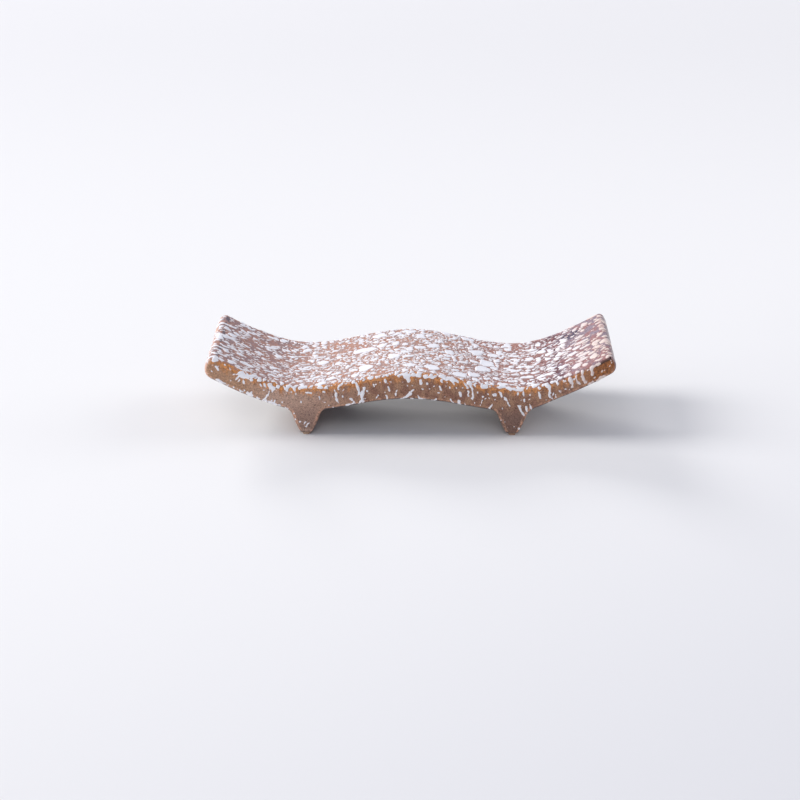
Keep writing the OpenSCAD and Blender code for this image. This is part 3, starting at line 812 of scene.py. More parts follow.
def pastStart(x, start, run):
    # 0 up to start, 1 from start + run on
    return clamp01((x - start) / run)


def nearness(points, x, y, size):
    # 1 at a place on the plan, and less over its size
    far = np.hypot(points[:, 0] - x, points[:, 1] - y) / size
    return np.exp(-far ** 2)


def fleckDensity(skin):
    # How likely a fleck is to land at each point: on the top and the left end, and few elsewhere
    p, n = skin["points"], skin["normals"]
    onTop = pastStart(n[:, 2], 0.3, 0.3)
    leftFace = clamp01(-n[:, 0] * 2 - 0.4) * (n[:, 2] > -0.2) * (p[:, 0] < -flecks["faces"])
    rightFace = clamp01(n[:, 0] * 2 - 0.6) * (p[:, 0] > flecks["faces"])
    leftCorner = clamp01(1 - abs(n[:, 0] + 0.3) / 0.25) * (p[:, 0] < -flecks["corner"])
    size, strength = flecks["clouds"]
    clouds = 1 + strength * softNoise(p, size, flecks["noiseSeeds"]["clouds"])
    clouds -= flecks["endFewer"] * pastStart(p[:, 0], *flecks["rightEnd"])
    bare = np.ones(len(p))
    for place in flecks["bare"]:
        bare *= 1 - flecks["bareShare"] * nearness(p, *place)
    density = onTop * clouds * (1 - flecks["bareShare"] * rightFace) * (1 - flecks["cornerBare"] * leftCorner)
    return np.maximum(density + flecks["leftFace"] * leftFace, 0) * bare + flecks["elsewhere"]


def alongSurface(normal, turn):
    # Direction on the surface, turned from the length of the rest
    first = np.cross([0, 1, 0], normal)
    first /= max(np.linalg.norm(first), 1e-9)
    return first * math.cos(turn) + np.cross(normal, first) * math.sin(turn)


# Each row of the book is a circle: fleck number, centre, radius, long direction, how many
# times longer it is that way. The flecks before number "runs" lie on the faces and the edges.
book = {"rows": np.zeros((30000, 9)), "count": 0, "fleck": 0, "runs": 0}


def addCircle(centre, radius, way=(1, 0, 0), stretch=1.0):
    book["rows"][book["count"]] = (book["fleck"], *centre, radius, *way, stretch)
    book["count"] += 1


def nextFleck():
    book["fleck"] += 1


def hasRoom(centre, distance):
    known = book["rows"][:book["count"]]
    return bool((((known[:, 1:4] - centre) ** 2).sum(1) > (known[:, 4] + distance) ** 2).all())


def addStroke(side, x0, z0, x1, z1, wide):
    # A run on the front or back face, a little thinner towards its end
    steps = max(1, math.ceil(math.hypot(x1 - x0, z1 - z0) / wide / strokes["spacing"]))
    for k in range(steps + 1):
        share = k / steps
        centre = (x0 + (x1 - x0) * share, side * wave["depth"] / 2, z0 + (z1 - z0) * share)
        addCircle(centre, wide * (strokes["start"] - strokes["thinner"] * share))


def addFrontRuns():
    for run in frontRuns:
        for numbers in run:
            addStroke(-1, *[value * mm for value in numbers])
        nextFleck()


def addEndRidges(chance):
    corner = cornerArc(-1, "topRadius", 2)
    tilt = ends[-1]["tilt"]
    outwards = np.array([-math.cos(tilt), math.sin(tilt)])
    upwards = np.array([-math.sin(tilt), math.cos(tilt)])
    for numbers in endRidges:
        y, reachTop, reachDown, wide = [value * mm for value in numbers]
        stops = [corner[2] - reachTop * outwards, corner[1], corner[0] - reachDown * upwards]
        for start, stop in zip(stops[:-1], stops[1:]):
            steps = math.ceil(np.linalg.norm(stop - start) / wide / strokes["ridgeSpacing"])
            for x, z in between(start, stop, steps):
                y += strokes["ridgeWander"] * wide * chance.normal()
                addCircle((x, y, z), wide * chance.uniform(*strokes["ridgeSizes"]))
        nextFleck()


def addTopIslands(chance):
    # Each island is a ring of lobes
    near = 0.1 * mm
    for numbers in topIslands:
        x, y, long, wide = [value * mm for value in numbers]
        centre = np.array([x, y, topHeight(x)])
        slope = (topHeight(x + near) - topHeight(x - near)) / (2 * near)
        normal = np.array([-slope, 0, 1]) / math.hypot(slope, 1)
        small = islands["lobe"] * min(long, wide)
        for k in range(islands["lobes"]):
            swing = chance.uniform(-islands["swing"], islands["swing"])
            turn = 2 * math.pi * (k + swing) / islands["lobes"]
            spread = alongSurface(normal, 0) * (long - small) * math.cos(turn)
            spread[1] += (wide - small) * math.sin(turn)
            addCircle(centre + spread, small * chance.uniform(*islands["sizes"]),
                      alongSurface(normal, chance.normal(0, islands["lean"])),
                      chance.uniform(*flecks["longer"]))
        nextFleck()


def addBeads(side, chance):
    # Chains of beads along the front or the back edge
    x, stop = [share * wave["length"] for share in beads["span"]]
    least, most = beads["many"]
    while x < stop:
        sparse = not least < x < most
        if chance.random() < (beads["fewChance"] if sparse else beads["chance"][side]):
            radius = chance.uniform(*beads["radius"])
            drop = chance.uniform(*beads["drop"]) * mm
            y = side * (wave["depth"] / 2 - beads["inset"] + min(drop, 0))
            centre = (x, y, topHeight(x) - beads["low"] - max(drop, 0))
            if hasRoom(np.array(centre), -beads["overlap"] * radius):
                addCircle(centre, radius, stretch=chance.uniform(*flecks["longer"]))
        if chance.random() < beads["breakChance"] or sparse:
            nextFleck()
        x += beads["pitch"] * chance.uniform(*beads["pitchSpread"])
    nextFleck()


def addFaceDots(side, chance):
    for _ in range(faceDots["count"]):
        x = chance.uniform(*faceDots["span"]) * wave["length"]
        depth = chance.beta(*faceDots["depths"]) * (float(slabThick(x)) - mm)
        z = float(topHeight(x)) - faceDots["below"] - depth
        wide = chance.uniform(*faceDots["radius"])
        if hasRoom(np.array([x, side * wave["depth"] / 2, z]), faceDots["room"] * wide):
            x1 = x + chance.normal(0, faceDots["lean"]) * mm
            addStroke(side, x, z, x1, z - chance.uniform(*faceDots["long"]) * mm, wide)
            nextFleck()


def addBackRuns(chance):
    for _ in range(backRuns["count"]):
        x = chance.uniform(*backRuns["span"]) * wave["length"]
        long = chance.uniform(*backRuns["long"]) * mm
        if chance.random() < backRuns["lowChance"]:
            z0, z1 = [float(underHeight(place)) + backRuns["lift"] for place in (x, x + long)]
            if min(z0, z1) > backRuns["overFeet"]:
                addStroke(1, x, z0, x + long, z1, chance.uniform(*backRuns["lowWide"]) * mm)
                lean, tall, wide = backRuns["spur"]
                middle = x + long / 2
                addStroke(1, middle, z0, middle + chance.uniform(-1, 1) * lean, z0 + tall, wide)
        else:
            z = float(topHeight(x)) - chance.uniform(*backRuns["below"]) * mm
            long = min(long, z - float(underHeight(x)))
            x1 = x + backRuns["lean"] * long * chance.normal()
            addStroke(1, x, z, x1, z - long, chance.uniform(*backRuns["wide"]) * mm)
        nextFleck()


def scatterFlecks(skin, chance):
    # Random flecks, the largest kind first, each where the others leave room for it
    p, n = skin["points"], skin["normals"]
    weight = vertexAreas(skin) * fleckDensity(skin)
    weight /= weight.sum()
    for count, middle, spread, most in flecks["kinds"].values():
        placed = 0
        for pick in chance.choice(len(p), 3 * count, p=weight):
            centre, normal = p[pick], n[pick]
            onWing = pastStart(abs(centre[0]), *flecks["wing"])
            atEnd = pastStart(centre[0], *flecks["rightEnd"])
            larger = 1 - flecks["wingSmaller"] * onWing + flecks["endLarger"] * atEnd
            radius = middle * chance.lognormal(0, spread) * larger
            if not hasRoom(centre, flecks["crowd"] * radius):
                continue
            lean = flecks["lean"] - flecks["wingLean"] * onWing
            stretch = chance.uniform(*flecks["longer"])
            stretch += onWing * chance.uniform(*flecks["wingStretch"]) * (1 - flecks["endRounder"] * atEnd)
            for _ in range(chance.integers(1, most + 1)):
                size = radius * chance.uniform(*flecks["sizes"])
                way = alongSurface(normal, chance.normal(0, lean))
                addCircle(centre, size, way, stretch * chance.uniform(*flecks["longerSpread"]))
                step = alongSurface(normal, chance.normal(0, 1.5 * lean)) * size * chance.uniform(-1, 1)
                centre = centre + step * (1 + stretch) / 1.4
            nextFleck()
            placed += 1
            if placed == count:
                break


def insideFleck(box, circles):
    # Rough distance of points inside the rim of one fleck, whose circles flow together
    ways, stretches = circles[:, 5:8], circles[:, 8]
    offset = box[:, None] - circles[:, 1:4]
    long = (offset * ways).sum(2)
    distance = np.sqrt(np.maximum((offset ** 2).sum(2) - long ** 2 * (1 - 1 / stretches ** 2), 0))
    inside = (circles[:, 4] - distance) / flecks["merge"]
    top = inside.max(1)
    return flecks["merge"] * (top + np.log(np.exp(inside - top[:, None]).sum(1)))


def fleckField(skin, rows):
    # Rough distance inside the nearest fleck's rim, in metres, negative outside. Runs flow
    # together, and between other flecks a brown line is kept.
    seeds = flecks["noiseSeeds"]
    p = skin["points"].copy()
    for k, (size, reach) in enumerate(flecks["warps"]):
        swells = [softNoise(skin["points"], size, seeds["warp"] + 3 * k + axis) for axis in range(3)]
        p += reach * np.stack(swells, 1)
    order = np.argsort(p[:, 0])
    ordered = p[order]
    best, second, runs = [np.full(len(p), -1.0) for _ in range(3)]
    starts = np.flatnonzero(np.diff(rows[:, 0])) + 1
    for circles in np.split(rows, starts):
        reach = (circles[:, 4] * circles[:, 8] + flecks["reach"])[:, None]
        low, high = (circles[:, 1:4] - reach).min(0), (circles[:, 1:4] + reach).max(0)
        first, last = np.searchsorted(ordered[:, 0], [low[0], high[0]])
        box = ordered[first:last]
        near = np.flatnonzero(((box[:, 1:] > low[1:]) & (box[:, 1:] < high[1:])).all(1))
        value = insideFleck(box[near], circles)
        place = order[first + near]
        if circles[0, 0] < book["runs"]:
            runs[place] = np.maximum(runs[place], value)
            continue
        second[place] = np.maximum(second[place], np.minimum(best[place], value))
        best[place] = np.maximum(best[place], value)
    least, most = flecks["gap"]
    gap = least + (most - least) * (0.5 + 0.5 * softNoise(skin["points"], flecks["gapPatch"], seeds["gap"]))
    more, start, run = flecks["gapMore"]
    gap += more * pastStart(p[:, 0], start, run)
    parted = np.minimum(best, (best - second - gap) / 2)
    small = np.minimum(crumbField(skin, p), -np.maximum(best, runs) - crumbs["gap"])
    return np.maximum(np.maximum(runs, parted), small)


def crumbField(skin, p):
    seeds = flecks["noiseSeeds"]
    onWing = pastStart(abs(p[:, 0]), *crumbs["wing"])
    longer, finer = crumbs["drawnOut"]
    drawn = p * np.stack([1 - longer * onWing, 1 + finer * onWing, np.ones(len(p))], 1)
    noise = sum(share * softNoise(drawn, size, seeds["crumbs"] + k)
                for k, (size, share) in enumerate(crumbs["noise"]))
    middle, inDips, onWings, atRight = crumbs["level"]
    size, start = crumbs["dips"]
    level = middle + inDips * clamp01(abs(p[:, 0]) / size - start) + onWings * onWing
    size, share = crumbs["patch"]
    patches = share * softNoise(skin["points"], size, seeds["patches"])
    level += atRight * pastStart(p[:, 0], *flecks["rightEnd"]) + patches
    for x, y, size, more in crumbs["dense"]:
        level -= more * nearness(p, x, y, size)
    density, rise = crumbs["rare"]
    level += rise * clamp01(1 - fleckDensity(skin) / density)
    return crumbs["slope"] * (noise - level)


def cutAtRim(skin, field):
    # The part of the skin inside the rims, as triangles that end on the rims
    triangles, spots = [np.concatenate([skin[name][:, [0, 1, 2]], skin[name][:, [0, 2, 3]]])
                        for name in ("quads", "chart")]
    kept = (field > 0)[triangles]
    number = kept.sum(1)
    edges = []

    def turned(mask, wanted):
        # Turns each triangle so that its odd corner comes first
        tri, spot, state = triangles[mask], spots[mask], kept[mask]
        first = np.argmax(state == wanted, axis=1)
        index = (first[:, None] + np.arange(3)) % 3
        row = np.arange(len(tri))[:, None]
        return tri[row, index], spot[row, index]

    def crossing(a, b, spotA, spotB):
        share = field[a] / (field[a] - field[b])
        edges.append(np.stack([np.minimum(a, b), np.maximum(a, b)], 1))
        return spotA + (spotB - spotA) * share[:, None]

    # one has one corner inside the rim, and two has two
    one, oneSpot = turned(number == 1, True)
    two, twoSpot = turned(number == 2, False)
    oneA, oneB, twoA, twoB = [crossing(tri[:, 0], tri[:, k], spot[:, 0], spot[:, k])
                              for tri, spot in ((one, oneSpot), (two, twoSpot)) for k in (1, 2)]
    pairs, rim = np.unique(np.concatenate(edges), axis=0, return_inverse=True)
    rim = rim.ravel() + len(field)
    oneEdgeA, oneEdgeB, twoEdgeA, twoEdgeB = np.split(rim, np.cumsum([len(e) for e in edges])[:-1])
    faces = [triangles[number == 3], np.stack([one[:, 0], oneEdgeA, oneEdgeB], 1),
             np.stack([twoEdgeA, two[:, 1], two[:, 2]], 1), np.stack([twoEdgeA, two[:, 2], twoEdgeB], 1)]
    places = [spots[number == 3], np.stack([oneSpot[:, 0], oneA, oneB], 1),
              np.stack([twoA, twoSpot[:, 1], twoSpot[:, 2]], 1), np.stack([twoA, twoSpot[:, 2], twoB], 1)]
    rimEdges = np.concatenate([np.stack([oneEdgeA, oneEdgeB], 1), np.stack([twoEdgeB, twoEdgeA], 1)])
    share = (field[pairs[:, 0]] / (field[pairs[:, 0]] - field[pairs[:, 1]]))[:, None]

    def atRim(values):
        return np.concatenate([values, values[pairs[:, 0]] * (1 - share) + values[pairs[:, 1]] * share])

    points, normals = atRim(skin["points"]), atRim(skin["normals"])
    depth = np.concatenate([field, np.zeros(len(pairs))])
    used, index = np.unique(np.concatenate(faces), return_inverse=True)
    renamed = np.zeros(len(points), int)
    renamed[used] = np.arange(len(used))
    return (points[used], normals[used], depth[used], index.reshape(-1, 3), np.concatenate(places),
            renamed[rimEdges])


def connectedParts(faces, count):
    # A number for each point, the same all over each connected fleck
    part = np.arange(count)
    while True:
        least = part[faces].min(1)
        lower = part.copy()
        np.minimum.at(lower, faces.ravel(), np.repeat(least, faces.shape[1]))
        lower = lower[lower]
        if (lower == part).all():
            return part
        part = lower


def placeFlecks(skin):
    chance = np.random.default_rng(flecks["seed"])
    addFrontRuns()
    addBackRuns(chance)
    addEndRidges(chance)
    for side in (-1, 1):
        addBeads(side, chance)
        addFaceDots(side, chance)
    book["runs"] = book["fleck"]
    addTopIslands(chance)
    scatterFlecks(skin, chance)


def printShares(skin, field):
    area = vertexAreas(skin) * (skin["normals"][:, 2] > 0.5)
    zone = np.digitize(skin["points"][:, 0], np.arange(-28, 29, 14) * mm)
    shares = np.bincount(zone, area * (field > 0)) / np.bincount(zone, area)
    print(book["count"], "circles, white share of the top from left to right", shares.round(2))


def makeFlecks():
    skin = unevenSkin(skinGrid(flecks["step"], flecks["rows"]))
    placeFlecks(skin)
    field = fleckField(skin, book["rows"][:book["count"]])
    field = np.where(skin["points"][:, 2] < feet["glazeLine"] + 0.3 * mm, -mm, field)
    printShares(skin, field)
    points, normals, depth, faces, places, rim = cutAtRim(skin, field)
    share = clamp01(depth / flecks["shoulder"])
    least = flecks["rimShare"]
    tall = flecks["height"] * (least + (1 - least) * np.sqrt(1 - (1 - share) ** 2))
    size, least, more = flecks["uneven"]
    tall *= least + more * softNoise(points, size, flecks["noiseSeeds"]["height"])
    upper = points + normals * tall[:, None]
    lower = points - normals * flecks["sink"]
    part = connectedParts(faces, len(points))
    total, number = np.bincount(part, points[:, 0], len(points)), np.bincount(part, minlength=len(points))
    zone = np.digitize((total / np.maximum(number, 1))[part], flecks["parting"])
    pieces = []
    for k, name in enumerate(flecks["pieces"]):
        own = np.flatnonzero(zone == k)
        count = len(own)
        renamed = np.zeros(len(points), int)
        renamed[own] = np.arange(count)
        mask = zone[faces[:, 0]] == k
        top, edge = renamed[faces[mask]], renamed[rim[zone[rim[:, 0]] == k]]
        walls = np.concatenate([np.stack([edge[:, 0], edge[:, 0] + count, edge[:, 1] + count], 1),
                                np.stack([edge[:, 0], edge[:, 1] + count, edge[:, 1]], 1)])
        # The hidden faces share one spot of the bake map
        hidden = np.full((len(top) + len(walls), 3, 2), 0.998)
        pieces.append(makePiece(name, np.concatenate([upper[own], lower[own]]),
                                np.concatenate([top, top[:, ::-1] + count, walls]),
                                np.concatenate([places[mask], hidden]), ["white_flecks"],
                                {"thickness": np.tile(share[own], 2)}))
    return pieces


whitePieces = makeFlecks()


# Finishes

def newMaterial(name):
    material = bpy.data.materials.new(name)
    material.use_nodes = True
    tree = material.node_tree
    return material, tree, tree.nodes["Principled BSDF"]


def newGroup(name, output, kind, **inputs):
    # A group with one output, and a number for each input, given with its default
    group = bpy.data.node_groups.new(name, "ShaderNodeTree")
    for label, default in inputs.items():
        socket = group.interface.new_socket(label, in_out="INPUT", socket_type="NodeSocketFloat")
        socket.default_value = default
    group.interface.new_socket(output, in_out="OUTPUT", socket_type="NodeSocket" + kind)
    return group, addNode(group, "NodeGroupInput").outputs


def closeGroup(group, value):
    addNode(group, "NodeGroupOutput", {0: value})
    return group


def inMillimetres(tree):
    spot = addNode(tree, "ShaderNodeTexCoord").outputs["Object"]
    return addNode(tree, "ShaderNodeVectorMath", {0: spot, 1: (1 / mm,) * 3}, operation="MULTIPLY").outputs[0]


def mottleGroup():
    # Cloudy mask: Size is in millimetres, Tall draws it out upwards, Low and High are where it
    # turns from 0 to 1
    group, inputs = newGroup("glazeMottle", "Mask", "Float",
                             Size=1.0, Tall=1.0, Detail=3.0, Low=0.4, High=0.6)
    scale = calculate(group, "DIVIDE", 1.0, inputs["Size"])
    shorter = calculate(group, "DIVIDE", 1.0, inputs["Tall"])
    upright = addNode(group, "ShaderNodeCombineXYZ", {0: 1.0, 1: 1.0, 2: shorter}).outputs[0]
    spot = addNode(group, "ShaderNodeVectorMath", {0: inMillimetres(group), 1: upright},
                   operation="MULTIPLY").outputs[0]
    noise = addNode(group, "ShaderNodeTexNoise", {"Vector": spot, "Scale": scale, "Detail": inputs["Detail"]})
    return closeGroup(group, stepUp(group, noise.outputs["Fac"], inputs["Low"], inputs["High"]))


def spotGroup():
    # Small round spots: Size is their spacing in millimetres, Share how much of it a spot fills
    group, inputs = newGroup("glazeSpots", "Mask", "Float", Size=0.6, Share=0.3)
    scale = calculate(group, "DIVIDE", 1.0, inputs["Size"])
    cells = addNode(group, "ShaderNodeTexVoronoi", {"Vector": inMillimetres(group), "Scale": scale}).outputs
    red = addNode(group, "ShaderNodeSeparateColor", {"Color": cells["Color"]}).outputs[0]
    size = times(group, red, inputs["Share"])
    mask = addNode(group, "ShaderNodeMapRange", {"Value": cells["Distance"], "From Min": size,
                                                 "From Max": times(group, size, 0.6)})
    return closeGroup(group, mask.outputs["Result"])


def grainGroup():
    # Fine relief of a fired glaze, Size and Height in millimetres
    group, inputs = newGroup("glazeGrain", "Normal", "Vector", Size=0.5, Height=0.02)
    scale = calculate(group, "DIVIDE", 1.0, inputs["Size"])
    noise = addNode(group, "ShaderNodeTexNoise",
                    {"Vector": inMillimetres(group), "Scale": scale, "Detail": 2.0}).outputs["Fac"]
    far = times(group, inputs["Height"], mm)
    bump = addNode(group, "ShaderNodeBump", {"Height": noise, "Distance": far, "Strength": 1.0})
    return closeGroup(group, bump.outputs["Normal"])


def kilnGroup():
    # 1 on the right end, where the fire turned the glaze dark and glossy, with an uneven border
    group, inputs = newGroup("kilnSide", "Mask", "Float", Start=25.0, Run=12.0, Wander=7.0)
    spot = inMillimetres(group)
    x = addNode(group, "ShaderNodeSeparateXYZ", {0: spot}).outputs[0]
    noise = addNode(group, "ShaderNodeTexNoise", {"Vector": spot, "Scale": 0.32, "Detail": 3.0})
    swing = calculate(group, "SUBTRACT", noise.outputs["Fac"], 0.5)
    wander = times(group, swing, inputs["Wander"])
    past = calculate(group, "SUBTRACT", calculate(group, "ADD", x, wander), inputs["Start"])
    return closeGroup(group, stepUp(group, calculate(group, "DIVIDE", past, inputs["Run"]), 0.0, 1.0))


groups = {"mottle": mottleGroup(), "spots": spotGroup(), "grain": grainGroup(), "kiln": kilnGroup()}


def useGroup(tree, name, **inputs):
    return addNode(tree, "ShaderNodeGroup", inputs, node_tree=groups[name]).outputs[0]


def mottle(tree, low, high, **inputs):
    return useGroup(tree, "mottle", Low=low, High=high, **inputs)


def attribute(tree, name):
    return addNode(tree, "ShaderNodeAttribute", attribute_name=name).outputs["Fac"]


def connectShader(tree, shader, colour, matt, **grain):
    tree.links.new(colour, shader.inputs["Base Color"])
    tree.links.new(matt, shader.inputs["Roughness"])
    tree.links.new(useGroup(tree, "grain", **grain), shader.inputs["Normal"])


brown = {
    # Pairs of tones that a cloudy mask mixes
    "top": (fromScreen(184, 132, 108), fromScreen(176, 142, 132)),
    "wing": (fromScreen(172, 124, 106), fromScreen(150, 118, 114)),
    "dip": (fromScreen(164, 112, 96), fromScreen(156, 122, 116)),
    "rightTop": (fromScreen(162, 118, 114), fromScreen(150, 132, 140)),
    "side": (fromScreen(166, 127, 101), fromScreen(139, 100, 82)),
    "foot": (fromScreen(153, 123, 109), fromScreen(126, 97, 85)),
    "gold": (fromScreen(214, 146, 88), fromScreen(160, 100, 56)),
    "burnt": (fromScreen(118, 66, 20), fromScreen(182, 112, 58)),
    # Single tones
    "topPale": fromScreen(222, 200, 192),  # fine crumbs of white too small to stand up
    "leftEnd": fromScreen(208, 168, 148),
    "cornerShadeLine": fromScreen(112, 98, 102),  # painted shade: a dark line along the left end, on the top, where the valley between the end's white ridges and the top lies in shade
    "innerMaroon": fromScreen(98, 56, 58),
    "smudge": fromScreen(92, 80, 94),  # a dark patch by the back edge of the right wing
    "endStrip": fromScreen(134, 108, 108),
    "sideLeft": fromScreen(190, 158, 140),
    "sideFarLeft": fromScreen(170, 128, 94),
    # painted shade: the underside is darker and greyer than its brown glaze, so that the shade under the arch
    # stays dark and cool
    "under": fromScreen(102, 95, 96),
    "tipPale": fromScreen(196, 166, 150),
    "lowLine": fromScreen(216, 166, 138),
    "nearBlack": fromScreen(26, 8, 1),
    "grainPale": (1.36, 1.34, 1.32, 1),  # what fine grain multiplies the colour by
    "grainDark": (0.64, 0.62, 0.62, 1),
    "goldReach": (0.6, 2.0),  # mm below the top where the golden brown fades away
    "smudgePlace": (33.7, 9.0, 13.8),  # mm
    # Where each of them shows: a measure, where it starts and where it's full. Places are in mm,
    # and the ways that a face looks go from -1 to 1.
    "fades": {
        "onTop": (("upward", 0.35, 0.8),),
        "dips": (("along", 4.0, 18.0),),
        "leftWing": (("along", -17.0, -30.0),),
        "innerMaroon": (("along", 33.0, 30.0),),
        "smudge": (("fromSmudge", 3.2, 1.4),),
        "sideLeft": (("along", -6.0, -26.0),),
        "sideFarLeft": (("along", -27.0, -35.0),),
        "rightFoot": (("along", -8.0, 8.0),),
        "feet": (("up", 7.4, 3.6),),
        "tipPale": (("up", 1.5, 0.8), ("along", 0.0, -5.0)),
        "gold": (("belowReach", 0.9, -0.9),),
        "burnt": (("cornerwards", 37.0, 41.5),),
        "burntLine": (("belowTop", 1.05, 0.6),),
        "lowLine": (("toEdge", 0.8, 0.3), ("belowTop", 2.4, 3.4)),
        "scorch": (("toEdge", 0.22, 0.04), ("along", 37.6, 39.0), ("across", -13.0, -13.6),
                   ("belowTop", 1.5, 1.1)),
        "under": (("upward", -0.4, -0.8),),
        "rimGold": (("toEdge", 1.0, 0.35), ("belowTop", 1.2, 0.9), ("along", -40.0, -37.0)),
        "leftEnd": (("rightward", -0.35, -0.75), ("along", -36.0, -38.0)),
        "cornerShadeLine": (("wavering", -38.2, -38.5), ("wavering", -39.3, -38.9)),
        "endStrip": (("rightward", 0.45, 0.8), ("along", 36.0, 38.0)),
    },
}


def measures(tree):
    # What the fades go by
    place = inMillimetres(tree)
    along, across, up = addNode(tree, "ShaderNodeSeparateXYZ", {0: place}).outputs
    looks = addNode(tree, "ShaderNodeNewGeometry").outputs["Normal"]
    rightward, _, upward = addNode(tree, "ShaderNodeSeparateXYZ", {0: looks}).outputs
    belowTop = attribute(tree, "belowTop")
    least, most = brown["goldReach"]
    streaks = mottle(tree, 0.36, 0.64, Size=0.8, Tall=3.0, Detail=4.0)
    reach = calculate(tree, "ADD", least, times(tree, streaks, most - least))
    return {
        "along": along, "across": across, "up": up, "rightward": rightward, "upward": upward,
        "toEdge": attribute(tree, "toEdge"),
        "belowTop": belowTop,
        "belowReach": calculate(tree, "SUBTRACT", belowTop, reach),
        "cornerwards": calculate(tree, "SUBTRACT", along, times(tree, across, 0.25)),
        "wavering": calculate(tree, "ADD", along, times(tree, mottle(tree, 0.3, 0.7, Size=1.5), 0.6)),
        "fromSmudge": addNode(tree, "ShaderNodeVectorMath", {0: place, 1: brown["smudgePlace"]},
                              operation="DISTANCE").outputs["Value"],
    }


def fade(tree, at, name):
    return times(tree, *[stepUp(tree, at[what], start, full) for what, start, full in brown["fades"][name]])


def brownTop(tree, at, kiln):
    # Reddish in the middle, greyer on the left wing, maroon and violet at the right end
    clouds = mottle(tree, 0.4, 0.62, Size=2.6)
    top = mixColour(tree, clouds, *brown["top"])
    for place, name in (("dips", "dip"), ("leftWing", "wing")):
        top = mixColour(tree, fade(tree, at, place), top, mixColour(tree, clouds, *brown[name]))
    crumbs = mottle(tree, 0.52, 0.62, Size=0.3)
    top = mixColour(tree, times(tree, crumbs, 0.5), top, brown["topPale"])
    dark = mixColour(tree, mottle(tree, 0.42, 0.58, Size=2.4, Detail=4.0), *brown["rightTop"])
    patches = {"innerMaroon": mottle(tree, 0.4, 0.6, Size=1.6, Detail=4.0),
               "smudge": mottle(tree, 0.36, 0.52, Size=1.1, Detail=4.0)}
    for name, patch in patches.items():
        dark = mixColour(tree, times(tree, fade(tree, at, name), patch), dark, brown[name])
    return mixColour(tree, kiln, top, dark)


def brownSide(tree, at):
    # Sand and red-brown, paler to the left, greyer down the feet
    side = mixColour(tree, mottle(tree, 0.38, 0.62, Size=1.6, Tall=1.6, Detail=5.0), *brown["side"])
    for name, share in (("sideLeft", 0.85), ("sideFarLeft", 0.7)):
        side = mixColour(tree, times(tree, fade(tree, at, name), share), side, brown[name])
    foot = mixColour(tree, fade(tree, at, "rightFoot"), *brown["foot"])
    side = mixColour(tree, fade(tree, at, "feet"), side, foot)
    return mixColour(tree, times(tree, fade(tree, at, "tipPale"), 0.8), side, brown["tipPale"])


def goldenEdge(tree, at, side):
    # Golden brown runs down from the upper edge, and the right corner is burnt
    corner = fade(tree, at, "burnt")
    broken = times(tree, mottle(tree, 0.3, 0.55, Size=1.1, Detail=4.0), 0.75)
    gold = times(tree, fade(tree, at, "gold"), calculate(tree, "ADD", broken, 0.25))
    gold = calculate(tree, "MAXIMUM", gold, times(tree, corner, 0.85))
    golden = mixColour(tree, mottle(tree, 0.42, 0.62, Size=0.9, Tall=1.8, Detail=4.0), *brown["gold"])
    burnt = mixColour(tree, mottle(tree, 0.35, 0.7, Size=0.45, Tall=3.0, Detail=4.0), *brown["burnt"])
    burnt = mixColour(tree, fade(tree, at, "burntLine"), burnt, brown["nearBlack"])
    return mixColour(tree, gold, side, mixColour(tree, corner, golden, burnt))


def brownFinish():
    material, tree, shader = newMaterial("brownGlaze")
    at = measures(tree)
    onTop = fade(tree, at, "onTop")
    kiln = useGroup(tree, "kiln", Start=21.0, Run=10.0)
    side = goldenEdge(tree, at, brownSide(tree, at))
    lowLine = times(tree, fade(tree, at, "lowLine"), mottle(tree, 0.35, 0.6, Size=0.7, Detail=4.0), 0.75)
    side = mixColour(tree, lowLine, side, brown["lowLine"])
    colour = mixColour(tree, onTop, side, brownTop(tree, at, kiln))
    colour = mixColour(tree, times(tree, fade(tree, at, "scorch"), 0.9), colour, brown["nearBlack"])
    # Painted shade on the underside, darker and greyer than its glaze
    colour = mixColour(tree, fade(tree, at, "under"), colour, brown["under"])
    rimGold = times(tree, fade(tree, at, "rimGold"), mottle(tree, 0.42, 0.56, Size=0.9, Detail=4.0),
                    calculate(tree, "SUBTRACT", 1.0, kiln))
    colour = mixColour(tree, rimGold, colour, brown["gold"][0])
    colour = mixColour(tree, fade(tree, at, "leftEnd"), colour, brown["leftEnd"])
    # Painted shade along the left end's upper corner
    line = times(tree, fade(tree, at, "cornerShadeLine"), onTop, mottle(tree, 0.4, 0.5, Size=1.1))
    colour = mixColour(tree, line, colour, brown["cornerShadeLine"])
    colour = mixColour(tree, fade(tree, at, "endStrip"), colour, brown["endStrip"])
    grains = ((mottle(tree, 0.5, 0.62, Size=0.22, Detail=2.0), "grainPale"),
              (mottle(tree, 0.52, 0.64, Size=0.3), "grainDark"),
              (useGroup(tree, "spots", Size=0.55, Share=0.42), "grainDark"))
    for mask, name in grains:
        colour = mixColour(tree, mask, colour, brown[name], "MULTIPLY")
    # Glossier on the top and where the kiln was hottest
    matt = calculate(tree, "SUBTRACT", 0.52, times(tree, onTop, 0.16))
    matt = calculate(tree, "SUBTRACT", matt, times(tree, kiln, 0.16))
    patch = calculate(tree, "SUBTRACT", mottle(tree, 0.3, 0.7, Size=0.7), 0.5)
    matt = calculate(tree, "ADD", matt, times(tree, patch, 0.12))
    shader.inputs["Specular IOR Level"].default_value = 0.32
    connectShader(tree, shader, colour, matt, Size=0.32, Height=0.035)
    return material


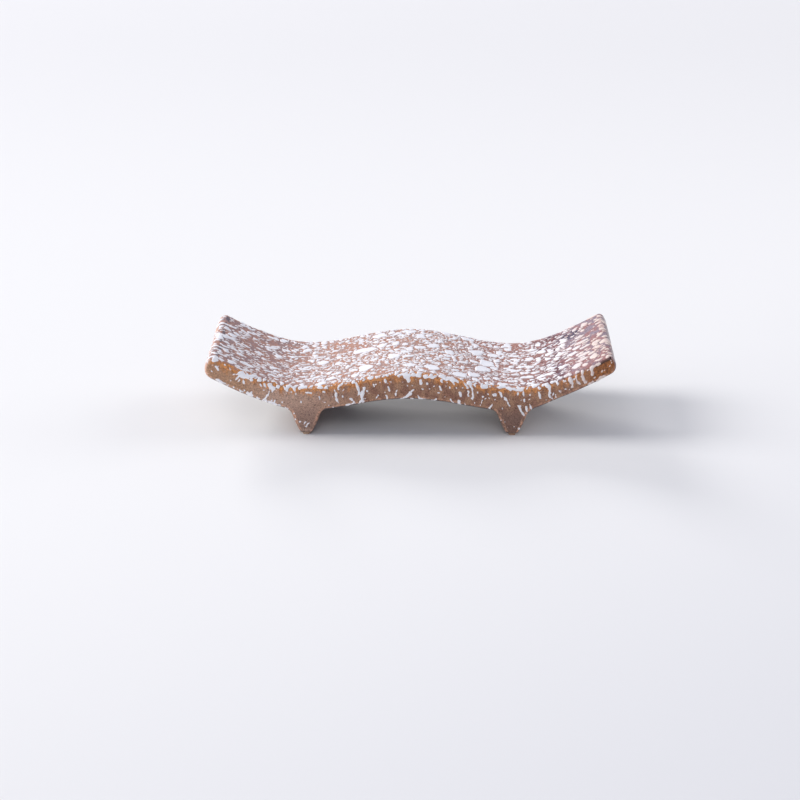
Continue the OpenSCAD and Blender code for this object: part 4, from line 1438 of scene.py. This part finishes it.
white = {
    "thick": fromScreen(247, 245, 248),
    "thin": fromScreen(226, 208, 202),
    # At the right end
    "cream": fromScreen(231, 212, 201),
    "peach": fromScreen(212, 180, 170),
    "pink": fromScreen(220, 184, 177),
}


def whiteFinish():
    material, tree, shader = newMaterial("whiteGlaze")
    cover = stepUp(tree, attribute(tree, "thickness"), 0.0, 0.14)
    kiln = useGroup(tree, "kiln", Start=28.0)
    pale = mixColour(tree, kiln, white["thick"], white["cream"])
    rim = mixColour(tree, kiln, white["thin"], white["peach"])
    colour = mixColour(tree, cover, rim, pale)
    blush = times(tree, mottle(tree, 0.5, 0.75, Size=1.6), 0.18)
    colour = mixColour(tree, blush, colour, white["thin"])
    pink = times(tree, kiln, mottle(tree, 0.48, 0.62, Size=0.9), 0.7)
    colour = mixColour(tree, pink, colour, white["pink"])
    patch = times(tree, mottle(tree, 0.2, 0.8, Size=0.8, Detail=2.0), 0.16)
    connectShader(tree, shader, colour, calculate(tree, "ADD", 0.3, patch), Size=0.5, Height=0.03)
    return material


clay = {
    "body": fromScreen(196, 166, 142),
    "toasted": fromScreen(158, 122, 98),
    "grog": fromScreen(112, 88, 74),
}


def clayFinish():
    material, tree, shader = newMaterial("bareClay")
    toast = mottle(tree, 0.35, 0.65, Size=1.8, Detail=5.0)
    colour = mixColour(tree, toast, clay["body"], clay["toasted"])
    grog = times(tree, useGroup(tree, "spots", Size=0.5, Share=0.4), 0.6)
    colour = mixColour(tree, grog, colour, clay["grog"])
    patch = times(tree, mottle(tree, 0.3, 0.7, Size=0.5), 0.16)
    connectShader(tree, shader, colour, calculate(tree, "ADD", 0.72, patch), Size=0.22, Height=0.05)
    return material


brownPiece.data.materials.append(brownFinish())
whiteMaterial = whiteFinish()
for piece in whitePieces:
    piece.data.materials.append(whiteMaterial)
clayMaterial = clayFinish()
for name in ("wave_slab", "left_foot", "right_foot"):
    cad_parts[name].data.materials.clear()
    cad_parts[name].data.materials.append(clayMaterial)
print("finishes set")
